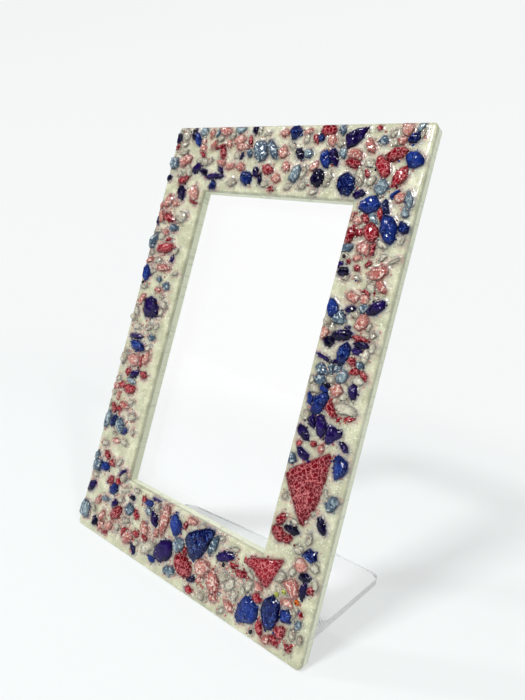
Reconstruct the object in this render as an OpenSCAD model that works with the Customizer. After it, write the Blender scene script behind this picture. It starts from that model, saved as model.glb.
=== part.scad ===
// Picture frame with a crushed glass border.
// A clear plate with a window carries poured resin, and glass chips, shards and beads are
// set in the resin. A bent clear sheet behind it forms the photo pocket, the back and the foot.

/* [Panel] */
// Width of the panel
panel_w = 112; // [104:1:150]
// Height of the panel along its slope
panel_h = 173; // [160:1:210]
// Width of the border on each side of the window
side_border = 22; // [18:0.5:30]
// Height of the border above and below the window
end_border = 26.5; // [20:0.5:36]
// Thickness of the clear plate
plate_t = 3; // [2:0.5:5]
// Radius of the panel's outer corners
corner_r = 1.5; // [0.75:0.25:3]
// Lean of the panel from upright, in degrees
lean = 5; // [2:1:12]

/* [Resin] */
// Thickness of the poured resin
resin_t = 2; // [1.5:0.25:4]
// Bevel round the edges of the resin
resin_bevel = 0.4; // [0.2:0.05:0.45]

/* [Glass chips] */
// Gap of resin kept between two chips
chip_seam = 0.35; // [0.25:0.05:0.8]
// Gap between a chip and its seat in the resin
seat_gap = 0.05; // [0.02:0.01:0.08]
// Bare rim kept at the edges of the panel and the window
bare_rim = 0.7; // [0.6:0.1:1.5]
// Least height that a chip stands above the resin
rise_least = 0.5; // [0.3:0.1:0.8]
// Greatest height that a chip stands above the resin
rise_most = 2; // [1.2:0.1:3]
// Length from which a chip is set through the resin, and below which it lies on top
set_through_l = 3.6; // [3:0.1:6]

/* [Stand] */
// Width of the photo, which is also the width of the bent sheet
photo_w = 101.6; // [89:0.1:104]
// Height of the photo
photo_h = 152.4; // [127:0.1:156]
// Thickness of the bent sheet
sheet_t = 3; // [2:0.5:4]
// Width of the slot that takes the photo
photo_slot = 1.5; // [1:0.25:3]
// Inside radius of the bend at the foot
bend_r = 4; // [2:0.5:8]
// Depth of the foot behind its bend
foot_d = 56.5; // [45:0.5:80]
// Radius of the foot's rear corners
foot_corner_r = 4; // [2:0.5:12]

/* [Bonding strips] */
// Thickness of the clear strips that bond the plate to the sheet
strip_t = 0.5; // [0.25:0.25:1.5]
// Width of the two upright strips
strip_w = 9; // [6:0.5:12]
// Width of the two strips across
cross_strip_w = 5; // [3:0.5:8]
// Gap between the ends of the strips and other edges
strip_inset = 3; // [1:0.5:5]

/* [Hidden] */

overrun = 1;
window_w = panel_w - 2 * side_border;
window_h = panel_h - 2 * end_border;
bed_top = plate_t + resin_t;

// The plate's back face lies this far in front of the centre of the foot's bend.
plate_back = bend_r + 2 * sheet_t + photo_slot + strip_t;
bend_up = (sheet_t + bend_r + plate_back * sin(lean)) / cos(lean);
depth = (bed_top + rise_most + plate_back) * cos(lean) + bend_up * sin(lean) + foot_d;
panel_y = (bed_top + rise_most) * cos(lean) - depth / 2;
bend_y = depth / 2 - foot_d;
bend_z = sheet_t + bend_r;

// The heated bend is a little thinner than the sheet, and runs on into its straight parts.
bend_thinning = 0.02;
run_on = 3;

// The chips of the bottom border sit a little further up than their shares say, and those of
// the right border close up towards its top.
bottom_lift_share = 0.035;
right_lift_share = 0.02;

// Borders are numbered top, right, bottom, left.
top = 0;
right = 1;
bottom = 2;
left = 3;

// Each chip is [along, across, length, breadth, turn]. Along runs to the right on the top and
// bottom borders and up on the side borders, and across runs inwards from the panel's edge.
// Length and breadth are shares of the border's width, and turn is in degrees.
top_cobalt_shares = [
    [0.115, 0.21, 0.26, 0.11, -60], [0.238, 0.92, 0.18, 0.14, -60],
    [0.385, 0.79, 0.24, 0.19, -35], [0.54, 0.12, 0.22, 0.2, 0],
    [0.64, 0.19, 0.13, 0.11, -70], [0.677, 0.48, 0.28, 0.16, -60],
    [0.768, 0.8, 0.33, 0.25, -60], [0.945, 0.2, 0.18, 0.14, 60],
    [0.96, 0.47, 0.26, 0.2, -25], [0.93, 0.9, 0.14, 0.1, 40]];
top_steel_shares = [
    [0.022, 0.6, 0.25, 0.19, -10], [0.136, 0.09, 0.17, 0.14, 0],
    [0.207, 0.1, 0.17, 0.06, 80], [0.307, 0.06, 0.2, 0.12, 0],
    [0.372, 0.42, 0.14, 0.1, -60], [0.418, 0.38, 0.35, 0.24, -55],
    [0.466, 0.36, 0.34, 0.13, -52], [0.578, 0.7, 0.26, 0.17, 75],
    [0.607, 0.41, 0.15, 0.13, 0], [0.711, 0.08, 0.18, 0.09, -70],
    [0.735, 0.4, 0.17, 0.12, -50], [0.854, 0.23, 0.14, 0.11, 0],
    [0.883, 0.82, 0.22, 0.19, -60], [0.958, 0.06, 0.15, 0.08, 65],
    [0.973, 0.96, 0.24, 0.11, -70]];
top_navy_shares = [
    [0.014, 0.19, 0.19, 0.14, 100], [0.092, 0.12, 0.2, 0.13, 90],
    [0.014, 0.85, 0.11, 0.09, 90], [0.146, 0.67, 0.22, 0.13, 25],
    [0.186, 0.73, 0.2, 0.1, -30], [0.24, 0.785, 0.36, 0.09, 4],
    [0.339, 0.46, 0.11, 0.06, 80], [0.373, 0.065, 0.15, 0.11, 90],
    [0.419, 0.7, 0.18, 0.11, -70], [0.439, 0.78, 0.2, 0.07, -75],
    [0.578, 0.42, 0.22, 0.11, -45], [0.704, 0.45, 0.29, 0.12, -62],
    [0.665, 0.74, 0.26, 0.21, -70], [0.818, 0.92, 0.18, 0.11, 20],
    [0.258, 0.68, 0.15, 0.07, -35]];
top_ruby_shares = [
    [0.232, 0.32, 0.22, 0.06, 20], [0.252, 0.42, 0.2, 0.13, -70],
    [0.362, 0.22, 0.16, 0.07, -70], [0.465, 0.65, 0.22, 0.14, -25],
    [0.623, 0.2, 0.14, 0.08, -60], [0.664, 0.09, 0.24, 0.2, 10],
    [0.832, 0.07, 0.08, 0.06, -40], [0.872, 0.56, 0.32, 0.18, -60],
    [0.905, 0.41, 0.31, 0.16, 20], [0.931, 0.68, 0.3, 0.16, 65],
    [0.826, 0.65, 0.12, 0.07, -60], [0.775, 0.53, 0.24, 0.12, -15],
    [0.09, 0.86, 0.24, 0.12, 15], [0.157, 0.44, 0.14, 0.09, -50]];
top_rose_shares = [
    [0.145, 0.25, 0.1, 0.1, 0], [0.152, 0.36, 0.16, 0.12, -60],
    [0.178, 0.12, 0.16, 0.1, 90], [0.24, 0.08, 0.27, 0.15, -20],
    [0.255, 0.57, 0.2, 0.09, -15], [0.078, 0.56, 0.28, 0.19, 20],
    [0.315, 0.22, 0.23, 0.15, 10], [0.337, 0.33, 0.25, 0.1, 0],
    [0.27, 0.28, 0.15, 0.08, -60], [0.345, 0.62, 0.2, 0.12, -20],
    [0.5, 0.12, 0.17, 0.1, 10], [0.51, 0.4, 0.19, 0.17, 0],
    [0.506, 0.77, 0.18, 0.13, -20], [0.588, 0.115, 0.13, 0.09, 20],
    [0.683, 0.23, 0.2, 0.13, -60], [0.641, 0.58, 0.16, 0.13, 40],
    [0.535, 0.6, 0.16, 0.12, -50], [0.773, 0.42, 0.26, 0.15, -20],
    [0.818, 0.3, 0.22, 0.12, -55], [0.92, 0.09, 0.22, 0.14, -60],
    [0.912, 0.24, 0.12, 0.1, 0], [0.945, 0.93, 0.17, 0.13, -30],
    [0.2, 0.3, 0.16, 0.1, 60], [0.3, 0.62, 0.16, 0.1, 20]];
top_clear_shares = [
    [0.031, 0.04, 0.16, 0.07, 10], [0.052, 0.29, 0.13, 0.08, 0],
    [0.06, 0.42, 0.18, 0.1, 15], [0.055, 0.15, 0.18, 0.13, 90],
    [0.225, 0.2, 0.14, 0.09, 0], [0.108, 0.72, 0.22, 0.14, -35],
    [0.066, 0.77, 0.13, 0.08, -30], [0.15, 0.55, 0.16, 0.11, 0],
    [0.178, 0.58, 0.14, 0.14, 90], [0.28, 0.16, 0.12, 0.08, 60],
    [0.318, 0.45, 0.12, 0.09, -50], [0.393, 0.07, 0.16, 0.06, 80],
    [0.428, 0.13, 0.11, 0.05, 10], [0.465, 0.86, 0.13, 0.09, 0],
    [0.325, 0.86, 0.18, 0.12, 0], [0.59, 0.21, 0.13, 0.09, 90],
    [0.606, 0.67, 0.19, 0.1, 80], [0.613, 0.85, 0.13, 0.1, 0],
    [0.702, 0.76, 0.2, 0.09, 75], [0.712, 0.27, 0.13, 0.1, -30],
    [0.807, 0.71, 0.24, 0.12, -70], [0.968, 0.14, 0.14, 0.05, 80],
    [0.846, 0.75, 0.14, 0.1, 60], [0.83, 0.53, 0.15, 0.09, 0],
    [0.894, 0.27, 0.1, 0.06, 60], [0.56, 0.88, 0.12, 0.07, 30],
    [0.2, 0.55, 0.1, 0.08, 20], [0.54, 0.3, 0.13, 0.08, -30],
    [0.66, 0.93, 0.12, 0.06, 10], [0.88, 0.15, 0.12, 0.07, 50]];
right_cobalt_shares = [
    [0.988, 0.7, 0.36, 0.29, 10], [0.988, 0.46, 0.24, 0.13, -70],
    [0.692, 0.89, 0.32, 0.2, -60], [0.576, 0.53, 0.38, 0.2, 80],
    [0.43, 0.7, 0.4, 0.24, 60], [0.473, 0.69, 0.2, 0.1, -20],
    [0.436, 0.87, 0.22, 0.11, -70], [0.043, 0.25, 0.22, 0.18, -10],
    [0.935, 0.13, 0.24, 0.17, -30]];
right_steel_shares = [
    [0.864, 0.91, 0.24, 0.14, 15], [0.957, 0.6, 0.24, 0.12, -45],
    [0.672, 0.74, 0.27, 0.24, 0], [0.708, 0.39, 0.15, 0.14, 0],
    [0.559, 0.24, 0.15, 0.12, -30], [0.522, 0.79, 0.24, 0.2, 0],
    [0.528, 0.66, 0.2, 0.12, -80], [0.537, 0.57, 0.18, 0.14, 60],
    [0.515, 0.46, 0.24, 0.17, 60], [0.263, 0.92, 0.17, 0.16, 0],
    [0.19, 0.13, 0.25, 0.18, 60], [0.494, 0.79, 0.22, 0.18, 0],
    [0.98, 0.13, 0.2, 0.13, 80]];
right_navy_shares = [
    [0.816, 0.95, 0.12, 0.12, 0], [0.699, 0.6, 0.2, 0.1, 20],
    [0.715, 0.21, 0.32, 0.18, 40], [0.602, 0.8, 0.22, 0.17, 0],
    [0.627, 0.62, 0.36, 0.18, 15], [0.643, 0.56, 0.13, 0.12, 0],
    [0.612, 0.29, 0.25, 0.13, 0], [0.593, 0.33, 0.16, 0.12, 0],
    [0.556, 0.84, 0.26, 0.07, -15], [0.552, 0.62, 0.18, 0.06, 10],
    [0.487, 0.24, 0.25, 0.15, -80], [0.483, 0.66, 0.18, 0.07, 10],
    [0.38, 0.73, 0.23, 0.15, -70], [0.375, 0.59, 0.36, 0.18, -72],
    [0.342, 0.84, 0.28, 0.15, -40], [0.341, 0.17, 0.2, 0.09, -35],
    [0.286, 0.76, 0.26, 0.14, -25], [0.128, 0.2, 0.28, 0.13, -60],
    [0.083, 0.63, 0.26, 0.13, 0], [0.798, 0.86, 0.2, 0.15, 0]];
right_ruby_shares = [
    [0.965, 0.51, 0.26, 0.1, -75], [0.95, 0.72, 0.2, 0.14, -60],
    [0.915, 0.58, 0.34, 0.23, -55], [0.903, 0.91, 0.28, 0.18, 85],
    [0.912, 0.76, 0.14, 0.12, 0], [0.868, 0.5, 0.24, 0.1, 90],
    [0.828, 0.82, 0.08, 0.06, -45], [0.812, 0.66, 0.12, 0.08, -40],
    [0.827, 0.5, 0.12, 0.07, 50], [0.627, 0.33, 0.32, 0.07, -3],
    [0.563, 0.37, 0.15, 0.12, -30], [0.54, 0.29, 0.18, 0.1, 20],
    [0.534, 0.15, 0.2, 0.09, -35], [0.427, 0.5, 0.3, 0.15, -45],
    [0.417, 0.19, 0.18, 0.08, 25], [0.405, 0.36, 0.08, 0.07, 0],
    [0.321, 0.63, 0.12, 0.08, 0], [0.31, 0.87, 0.1, 0.07, 40],
    [0.098, 0.84, 0.24, 0.13, 60], [0.058, 0.83, 0.28, 0.19, -40],
    [0.055, 0.68, 0.2, 0.13, 20], [0.75, 0.43, 0.14, 0.09, -10]];
right_rose_shares = [
    [0.945, 0.83, 0.17, 0.14, 0], [0.868, 0.62, 0.26, 0.22, -20],
    [0.808, 0.31, 0.32, 0.22, 40], [0.773, 0.22, 0.25, 0.13, -50],
    [0.733, 0.6, 0.22, 0.16, -20], [0.733, 0.43, 0.18, 0.15, -40],
    [0.671, 0.36, 0.28, 0.19, 75], [0.622, 0.92, 0.2, 0.17, 80],
    [0.477, 0.5, 0.22, 0.2, 0], [0.315, 0.5, 0.15, 0.09, 80],
    [0.008, 0.36, 0.24, 0.19, 20], [0.84, 0.7, 0.14, 0.1, 30],
    [0.955, 0.95, 0.14, 0.07, 80]];
right_clear_shares = [
    [0.885, 0.36, 0.2, 0.1, -20], [0.845, 0.12, 0.16, 0.05, 35],
    [0.763, 0.36, 0.16, 0.12, -40], [0.786, 0.62, 0.12, 0.04, -15],
    [0.637, 0.8, 0.17, 0.13, -40], [0.688, 0.5, 0.13, 0.12, 0],
    [0.643, 0.16, 0.12, 0.1, 0], [0.583, 0.19, 0.19, 0.12, 80],
    [0.609, 0.12, 0.14, 0.09, 90], [0.517, 0.21, 0.2, 0.11, 10],
    [0.488, 0.93, 0.13, 0.13, 0], [0.503, 0.62, 0.16, 0.14, 0],
    [0.492, 0.38, 0.19, 0.1, -45], [0.466, 0.84, 0.2, 0.15, 0],
    [0.39, 0.87, 0.17, 0.13, 80], [0.436, 0.28, 0.38, 0.16, -5],
    [0.21, 0.25, 0.12, 0.05, -60], [0.106, 0.62, 0.12, 0.07, 0],
    [0.08, 0.33, 0.18, 0.09, 90], [0.043, 0.45, 0.17, 0.13, 0],
    [0.018, 0.14, 0.15, 0.12, 0], [0.16, 0.87, 0.13, 0.06, 80],
    [0.466, 0.37, 0.17, 0.1, 10], [0.74, 0.24, 0.08, 0.05, 0],
    [0.9, 0.08, 0.11, 0.05, 80],
    [0.15, 0.38, 0.12, 0.07, 70], [0.78, 0.8, 0.11, 0.06, 10],
    [0.85, 0.3, 0.12, 0.08, 60], [0.66, 0.24, 0.13, 0.06, 80]];
bottom_cobalt_shares = [
    [0.07, 0.99, 0.25, 0.12, 12], [0.33, 0.83, 0.19, 0.1, 10],
    [0.466, 0.75, 0.29, 0.2, -65], [0.395, 0.14, 0.15, 0.09, 0],
    [0.143, 0.75, 0.21, 0.17, 50], [0.923, 0.46, 0.2, 0.16, 10]];
bottom_steel_shares = [
    [0.028, 0.96, 0.26, 0.2, 10], [0.02, 0.24, 0.3, 0.26, -30],
    [0.112, 0.54, 0.17, 0.06, 15], [0.335, 0.72, 0.17, 0.1, -30],
    [0.493, 0.52, 0.27, 0.18, 40], [0.482, 0.14, 0.23, 0.12, 25],
    [0.629, 0.77, 0.3, 0.12, 75], [0.965, 0.45, 0.14, 0.07, 70],
    [0.244, 0.6, 0.2, 0.17, 0]];
bottom_navy_shares = [
    [0.028, 0.62, 0.22, 0.12, 60], [0.088, 0.15, 0.15, 0.12, 90],
    [0.167, 0.56, 0.15, 0.09, 40], [0.36, 0.94, 0.2, 0.06, 8],
    [0.368, 0.67, 0.24, 0.13, -50], [0.304, 0.115, 0.17, 0.08, -50],
    [0.44, 0.34, 0.43, 0.27, 45], [0.578, 0.22, 0.17, 0.09, 30],
    [0.682, 0.72, 0.32, 0.12, 30], [0.955, 0.83, 0.22, 0.09, 85],
    [0.952, 0.98, 0.17, 0.11, 20], [0.245, 0.77, 0.11, 0.07, 10]];
bottom_ruby_shares = [
    [0.157, 0.89, 0.13, 0.09, 40], [0.115, 0.84, 0.16, 0.1, 40],
    [0.185, 0.44, 0.31, 0.16, 50], [0.15, 0.085, 0.12, 0.05, 30],
    [0.245, 0.26, 0.17, 0.1, 60], [0.3, 0.32, 0.15, 0.1, 30],
    [0.28, 0.58, 0.17, 0.08, -35], [0.303, 0.84, 0.11, 0.08, 30],
    [0.342, 0.35, 0.14, 0.08, -30], [0.532, 0.31, 0.36, 0.26, -20],
    [0.522, 0.5, 0.15, 0.1, -40], [0.504, 0.81, 0.12, 0.07, 80],
    [0.576, 0.07, 0.12, 0.09, 0], [0.822, 0.47, 0.15, 0.11, 10],
    [0.852, 0.17, 0.22, 0.07, -65], [0.917, 0.26, 0.19, 0.15, 30],
    [0.905, 0.135, 0.17, 0.1, -40], [0.974, 0.88, 0.12, 0.08, 30],
    [0.742, 0.64, 0.22, 0.1, -5], [0.965, 0.57, 0.07, 0.06, 0]];
bottom_rose_shares = [
    [0.08, 0.47, 0.16, 0.1, 50], [0.118, 0.28, 0.21, 0.12, 60],
    [0.125, 0.14, 0.16, 0.1, 60], [0.165, 0.2, 0.17, 0.13, 30],
    [0.27, 0.22, 0.25, 0.17, 40], [0.333, 0.47, 0.2, 0.16, -60],
    [0.413, 0.74, 0.46, 0.17, 88], [0.525, 0.91, 0.2, 0.1, 20],
    [0.61, 0.42, 0.3, 0.22, -10], [0.66, 0.34, 0.36, 0.21, -60],
    [0.672, 0.16, 0.15, 0.12, 0], [0.735, 0.18, 0.19, 0.1, -15],
    [0.818, 0.6, 0.13, 0.12, 80], [0.882, 0.09, 0.14, 0.1, 40],
    [0.92, 0.78, 0.26, 0.23, 0], [0.92, 0.62, 0.17, 0.09, 0],
    [0.39, 0.5, 0.14, 0.1, 80], [0.605, 0.27, 0.15, 0.1, 30]];
bottom_clear_shares = [
    [0.03, 0.81, 0.14, 0.09, -10], [0.207, 0.24, 0.15, 0.07, 65],
    [0.37, 0.26, 0.3, 0.15, 45], [0.368, 0.84, 0.14, 0.1, 60],
    [0.573, 0.91, 0.15, 0.07, 50], [0.711, 0.07, 0.13, 0.05, 50],
    [0.787, 0.55, 0.17, 0.1, 80], [0.79, 0.69, 0.16, 0.11, 0],
    [0.771, 0.45, 0.13, 0.05, -50], [0.91, 0.97, 0.12, 0.08, 60],
    [0.88, 0.85, 0.17, 0.12, 60], [0.943, 0.52, 0.13, 0.08, 90],
    [0.955, 0.31, 0.15, 0.09, 90], [0.986, 0.96, 0.14, 0.07, -60],
    [0.205, 0.82, 0.14, 0.07, 30], [0.24, 0.42, 0.16, 0.08, 10],
    [0.72, 0.43, 0.2, 0.13, 60], [0.745, 0.33, 0.15, 0.09, 80],
    [0.31, 0.2, 0.12, 0.07, 30], [0.19, 0.66, 0.12, 0.08, 60],
    [0.065, 0.33, 0.14, 0.09, -40], [0.4, 0.35, 0.11, 0.07, 60],
    [0.65, 0.9, 0.11, 0.05, 20], [0.98, 0.3, 0.11, 0.07, 80],
    [0.26, 0.9, 0.12, 0.06, 10], [0.71, 0.86, 0.12, 0.05, 20]];
left_cobalt_shares = [
    [0.69, 0.12, 0.33, 0.17, -78], [0.436, 0.38, 0.42, 0.18, -8],
    [0.165, 0.28, 0.27, 0.14, 75], [0.145, 0.61, 0.17, 0.1, 50]];
left_steel_shares = [
    [0.806, 0.09, 0.33, 0.17, 80], [0.86, 0.52, 0.23, 0.13, 5],
    [0.677, 0.49, 0.14, 0.1, -20], [0.658, 0.72, 0.2, 0.13, -20],
    [0.478, 0.69, 0.2, 0.1, 0], [0.315, 0.45, 0.25, 0.1, -10],
    [0.16, 0.1, 0.34, 0.2, 80], [0.158, 0.48, 0.33, 0.19, -50],
    [0.028, 0.07, 0.2, 0.12, 80]];
left_navy_shares = [
    [0.985, 0.5, 0.32, 0.17, -60], [0.878, 0.05, 0.2, 0.07, -65],
    [0.466, 0.28, 0.36, 0.1, 6], [0.34, 0.49, 0.27, 0.13, 35],
    [0.013, 0.85, 0.24, 0.1, 40], [0.753, 0.69, 0.13, 0.09, 90]];
left_ruby_shares = [
    [0.958, 0.85, 0.24, 0.07, -15], [0.894, 0.36, 0.36, 0.14, -18],
    [0.817, 0.47, 0.16, 0.06, 25], [0.786, 0.45, 0.44, 0.2, 12],
    [0.347, 0.72, 0.2, 0.13, 0], [0.341, 0.31, 0.16, 0.12, 0],
    [0.287, 0.47, 0.3, 0.19, 10], [0.292, 0.26, 0.15, 0.13, 0],
    [0.206, 0.18, 0.22, 0.12, -50], [0.21, 0.33, 0.15, 0.1, 0],
    [0.045, 0.35, 0.22, 0.12, -35], [0.028, 0.5, 0.16, 0.13, 0],
    [0.39, 0.585, 0.27, 0.07, 90]];
left_rose_shares = [
    [0.985, 0.83, 0.34, 0.2, -75], [0.95, 0.22, 0.26, 0.2, 60],
    [0.93, 0.06, 0.2, 0.1, 70], [0.896, 0.13, 0.27, 0.15, -60],
    [0.84, 0.35, 0.16, 0.11, -20], [0.738, 0.13, 0.22, 0.1, 20],
    [0.718, 0.53, 0.36, 0.14, 5], [0.64, 0.53, 0.16, 0.1, 0],
    [0.596, 0.18, 0.26, 0.15, 70], [0.386, 0.4, 0.32, 0.25, 0],
    [0.403, 0.7, 0.28, 0.14, 80], [0.28, 0.09, 0.17, 0.1, 0],
    [0.25, 0.22, 0.17, 0.09, 90], [0.228, 0.44, 0.28, 0.12, 0],
    [0.105, 0.48, 0.24, 0.08, 10], [0.945, 0.42, 0.16, 0.1, 10]];
left_clear_shares = [
    [0.901, 0.66, 0.28, 0.22, 0], [0.84, 0.1, 0.26, 0.07, 8],
    [0.825, 0.28, 0.15, 0.12, 0], [0.764, 0.12, 0.15, 0.08, 0],
    [0.74, 0.33, 0.2, 0.1, 0], [0.704, 0.85, 0.16, 0.05, 20],
    [0.645, 0.13, 0.22, 0.13, 0], [0.553, 0.12, 0.2, 0.12, -60],
    [0.592, 0.78, 0.18, 0.16, 0], [0.507, 0.56, 0.2, 0.1, 20],
    [0.385, 0.12, 0.27, 0.15, 80], [0.308, 0.1, 0.15, 0.08, 20],
    [0.257, 0.06, 0.13, 0.1, 0], [0.215, 0.04, 0.14, 0.08, 90],
    [0.2, 0.72, 0.22, 0.11, 10], [0.11, 0.69, 0.14, 0.12, 0],
    [0.125, 0.38, 0.12, 0.08, 0], [0.155, 0.82, 0.09, 0.07, 0],
    [0.04, 0.69, 0.15, 0.1, 50], [0.565, 0.76, 0.13, 0.08, 60],
    [0.5, 0.25, 0.2, 0.11, 10], [0.515, 0.74, 0.13, 0.08, 60],
    [0.08, 0.2, 0.17, 0.09, 10], [0.7, 0.29, 0.13, 0.08, 40],
    [0.62, 0.66, 0.13, 0.07, -20], [0.44, 0.66, 0.13, 0.1, 20],
    [0.245, 0.6, 0.16, 0.08, 30], [0.78, 0.75, 0.13, 0.07, 60]];

// Shards are drawn point by point, each point as [along, across], and given with the height
// that they stand above the resin as a share of the greatest.
cobalt_slab_shares = [
    [0.518, 0.64], [0.521, 0.73], [0.552, 0.83], [0.601, 0.95], [0.617, 0.955],
    [0.623, 0.9], [0.606, 0.66], [0.588, 0.51], [0.568, 0.45], [0.548, 0.46]];
cobalt_block_shares = [
    [0.842, 0.37], [0.848, 0.5], [0.87, 0.6], [0.9, 0.57], [0.905, 0.4],
    [0.893, 0.24], [0.873, 0.19], [0.858, 0.25]];
cobalt_boulder_shares = [
    [0.765, 0.13], [0.768, 0.28], [0.784, 0.42], [0.812, 0.42], [0.834, 0.37],
    [0.838, 0.26], [0.825, 0.16], [0.798, 0.11], [0.775, 0.08]];
cobalt_shield_shares = [
    [0.968, 0.46], [0.96, 0.3], [0.935, 0.19], [0.895, 0.2], [0.886, 0.25],
    [0.892, 0.33], [0.92, 0.44], [0.945, 0.47]];
cobalt_teardrop_shares = [
    [0.31, 0.26], [0.316, 0.17], [0.305, 0.05], [0.285, 0.03], [0.268, 0.08],
    [0.253, 0.18], [0.27, 0.23]];
navy_wedge_shares = [
    [0.728, 0.15], [0.762, 0.09], [0.798, 0.06], [0.785, 0.2], [0.77, 0.28],
    [0.742, 0.34], [0.732, 0.25]];
navy_boulder_shares = [
    [0.6, 0.28], [0.613, 0.42], [0.607, 0.55], [0.58, 0.67], [0.553, 0.7],
    [0.543, 0.6], [0.54, 0.38], [0.565, 0.29]];
violet_triangle_shares = [
    [0.386, 0.49], [0.378, 0.25], [0.364, 0.24], [0.334, 0.42], [0.337, 0.46],
    [0.36, 0.49]];
ruby_shard_shares = [
    [0.216, 0.95], [0.238, 0.88], [0.311, 0.36], [0.304, 0.32], [0.24, 0.31],
    [0.17, 0.35], [0.105, 0.48], [0.108, 0.55], [0.165, 0.77], [0.204, 0.92]];
ruby_triangle_shares = [
    [0.752, 0.82], [0.8, 0.94], [0.868, 1.06], [0.875, 1.03], [0.861, 0.85],
    [0.843, 0.64], [0.832, 0.64], [0.785, 0.76], [0.758, 0.78]];
shards = [
    [bottom, cobalt_slab_shares, 1], [bottom, cobalt_block_shares, 1],
    [bottom, cobalt_boulder_shares, 0.95], [right, cobalt_shield_shares, 1],
    [right, cobalt_teardrop_shares, 0.9], [top, navy_wedge_shares, 0.9],
    [left, navy_boulder_shares, 1], [right, violet_triangle_shares, 0.6],
    [right, ruby_shard_shares, 0.55], [bottom, ruby_triangle_shares, 0.6]];

// Each bead is [border, along, across], and its size is a share of the side border's width.
crystal_shares = [
    [bottom, 0.632, 0.1], [bottom, 0.694, 0.47], [right, 0.655, 0.91], [left, 0.53, 0.09],
    [bottom, 0.18, 0.97]];
ruby_bead_shares = [
    [bottom, 0.952, 0.15], [bottom, 0.717, 0.67], [top, 0.022, 0.345],
    [top, 0.497, 0.92]];
black_bead_shares = [
    [bottom, 0.828, 0.06], [bottom, 0.682, 0.61], [left, 0.655, 0.09],
    [right, 0.84, 0.91]];
lime_bead_shares = [[bottom, 0.879, 0.64], [bottom, 0.9, 0.71]];
amber_bead_shares = [[bottom, 0.946, 0.68]];
crystal_bead_share = 0.13;
ruby_bead_share = 0.1;
black_bead_share = 0.065;
lime_bead_share = 0.075;
amber_bead_share = 0.085;
bead_bore_share = 0.3;
bead_seat_share = 0.45;

// Colours of the glass, the clear parts and the resin
cobalt = [0.13, 0.22, 0.5];
steel = [0.4, 0.52, 0.64];
navy = [0.12, 0.08, 0.3];
ruby = [0.6, 0.05, 0.12];
rose = [0.85, 0.5, 0.48];
clear = [0.78, 0.82, 0.76];
acrylic = [0.9, 0.95, 0.96, 0.35];
glass = [0.8, 0.88, 0.8, 0.6];
pale_resin = [0.84, 0.83, 0.72];
black = [0.08, 0.08, 0.1];
lime = [0.75, 0.8, 0.3];
amber = [0.9, 0.42, 0.1];

// A chip's crown: where its shoulder and its facets lie, as shares of its rise and outline
shoulder_share = 0.4;
facet_rise_share = 0.85;
facet_width_share = 0.6;
slide_share = 0.12;
uneven_share = 0.12;
rise_per_size_share = 0.3;
least_corners = 5;
more_corners_l = 3;
most_corners = 8;
angle_jitter_share = 0.28;
shortest_side = 0.25;

function border_of(side) = side == top || side == bottom ? end_border : side_border;

function spot(side, along, across) =
    side == top ? [(along - 0.5) * panel_w, panel_h - across * end_border] :
    side == bottom ? [(along - 0.5) * panel_w, (across + bottom_lift_share) * end_border] :
    side == left ? [across * side_border - panel_w / 2, end_border + along * window_h] :
    [panel_w / 2 - across * side_border,
        end_border + (along + (1 - along) * right_lift_share) * window_h];

function middle(outline) = [for (k = [0, 1]) sum_of([for (p = outline) p[k]]) / len(outline)];
function sum_of(list, i = 0) = i >= len(list) ? 0 : list[i] + sum_of(list, i + 1);

// The outline of a chip has its corners on an ellipse, unevenly spaced.
function chip_outline(side, row) =
    let (c = spot(side, row[0], row[1]), l = border_of(side) * row[2],
        b = border_of(side) * row[3],
        n = min(most_corners, least_corners + floor(l / more_corners_l)),
        stray = rands(-angle_jitter_share, angle_jitter_share, n, 1000 * row[0] + 7 * row[4]))
    [for (i = [0:n - 1])
        let (a = 360 * (i + stray[i]) / n, x = l / 2 * cos(a), y = b / 2 * sin(a))
        c + [x * cos(row[4]) - y * sin(row[4]), x * sin(row[4]) + y * cos(row[4])]];

function signed_area(outline) = sum_of([for (i = [0:len(outline) - 1])
    let (p = outline[i], q = outline[(i + 1) % len(outline)]) p.x * q.y - p.y * q.x]) / 2;

function anticlockwise(outline) = signed_area(outline) > 0 ? outline :
    [for (i = [len(outline) - 1:-1:0]) outline[i]];

function shard_outline(s) = anticlockwise([for (p = s[1]) spot(s[0], p[0], p[1])]);

function round_outline(row, share) =
    let (c = spot(row[0], row[1], row[2]), r = side_border * share / 2, n = most_corners)
    [for (i = [0:n - 1]) c + r * [cos(360 * i / n), sin(360 * i / n)] / cos(180 / n)];

chip_groups = [
    [top, top_cobalt_shares], [top, top_steel_shares], [top, top_navy_shares],
    [top, top_ruby_shares], [top, top_rose_shares], [top, top_clear_shares],
    [right, right_cobalt_shares], [right, right_steel_shares], [right, right_navy_shares],
    [right, right_ruby_shares], [right, right_rose_shares], [right, right_clear_shares],
    [bottom, bottom_cobalt_shares], [bottom, bottom_steel_shares], [bottom, bottom_navy_shares],
    [bottom, bottom_ruby_shares], [bottom, bottom_rose_shares], [bottom, bottom_clear_shares],
    [left, left_cobalt_shares], [left, left_steel_shares], [left, left_navy_shares],
    [left, left_ruby_shares], [left, left_rose_shares], [left, left_clear_shares]];
bead_groups = [
    [crystal_shares, crystal_bead_share], [ruby_bead_shares, ruby_bead_share],
    [black_bead_shares, black_bead_share], [lime_bead_shares, lime_bead_share],
    [amber_bead_shares, amber_bead_share]];

// All pieces of the mosaic in one list, as [kind, group, outline before trimming]
shard_kind = 0;
chip_kind = 1;
bead_kind = 2;
mosaic = concat(
    [for (s = [0:len(shards) - 1]) [shard_kind, s, shard_outline(shards[s])]],
    [for (g = [0:len(chip_groups) - 1], row = chip_groups[g][1])
        [chip_kind, g, chip_outline(chip_groups[g][0], row)]],
    [for (g = [0:len(bead_groups) - 1], row = bead_groups[g][0])
        [bead_kind, g, round_outline(row, bead_groups[g][1])]]);
middles = [for (m = mosaic) middle(m[2])];
spans = [for (i = [0:len(mosaic) - 1]) max([for (p = mosaic[i][2]) norm(p - middles[i])])];

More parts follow.
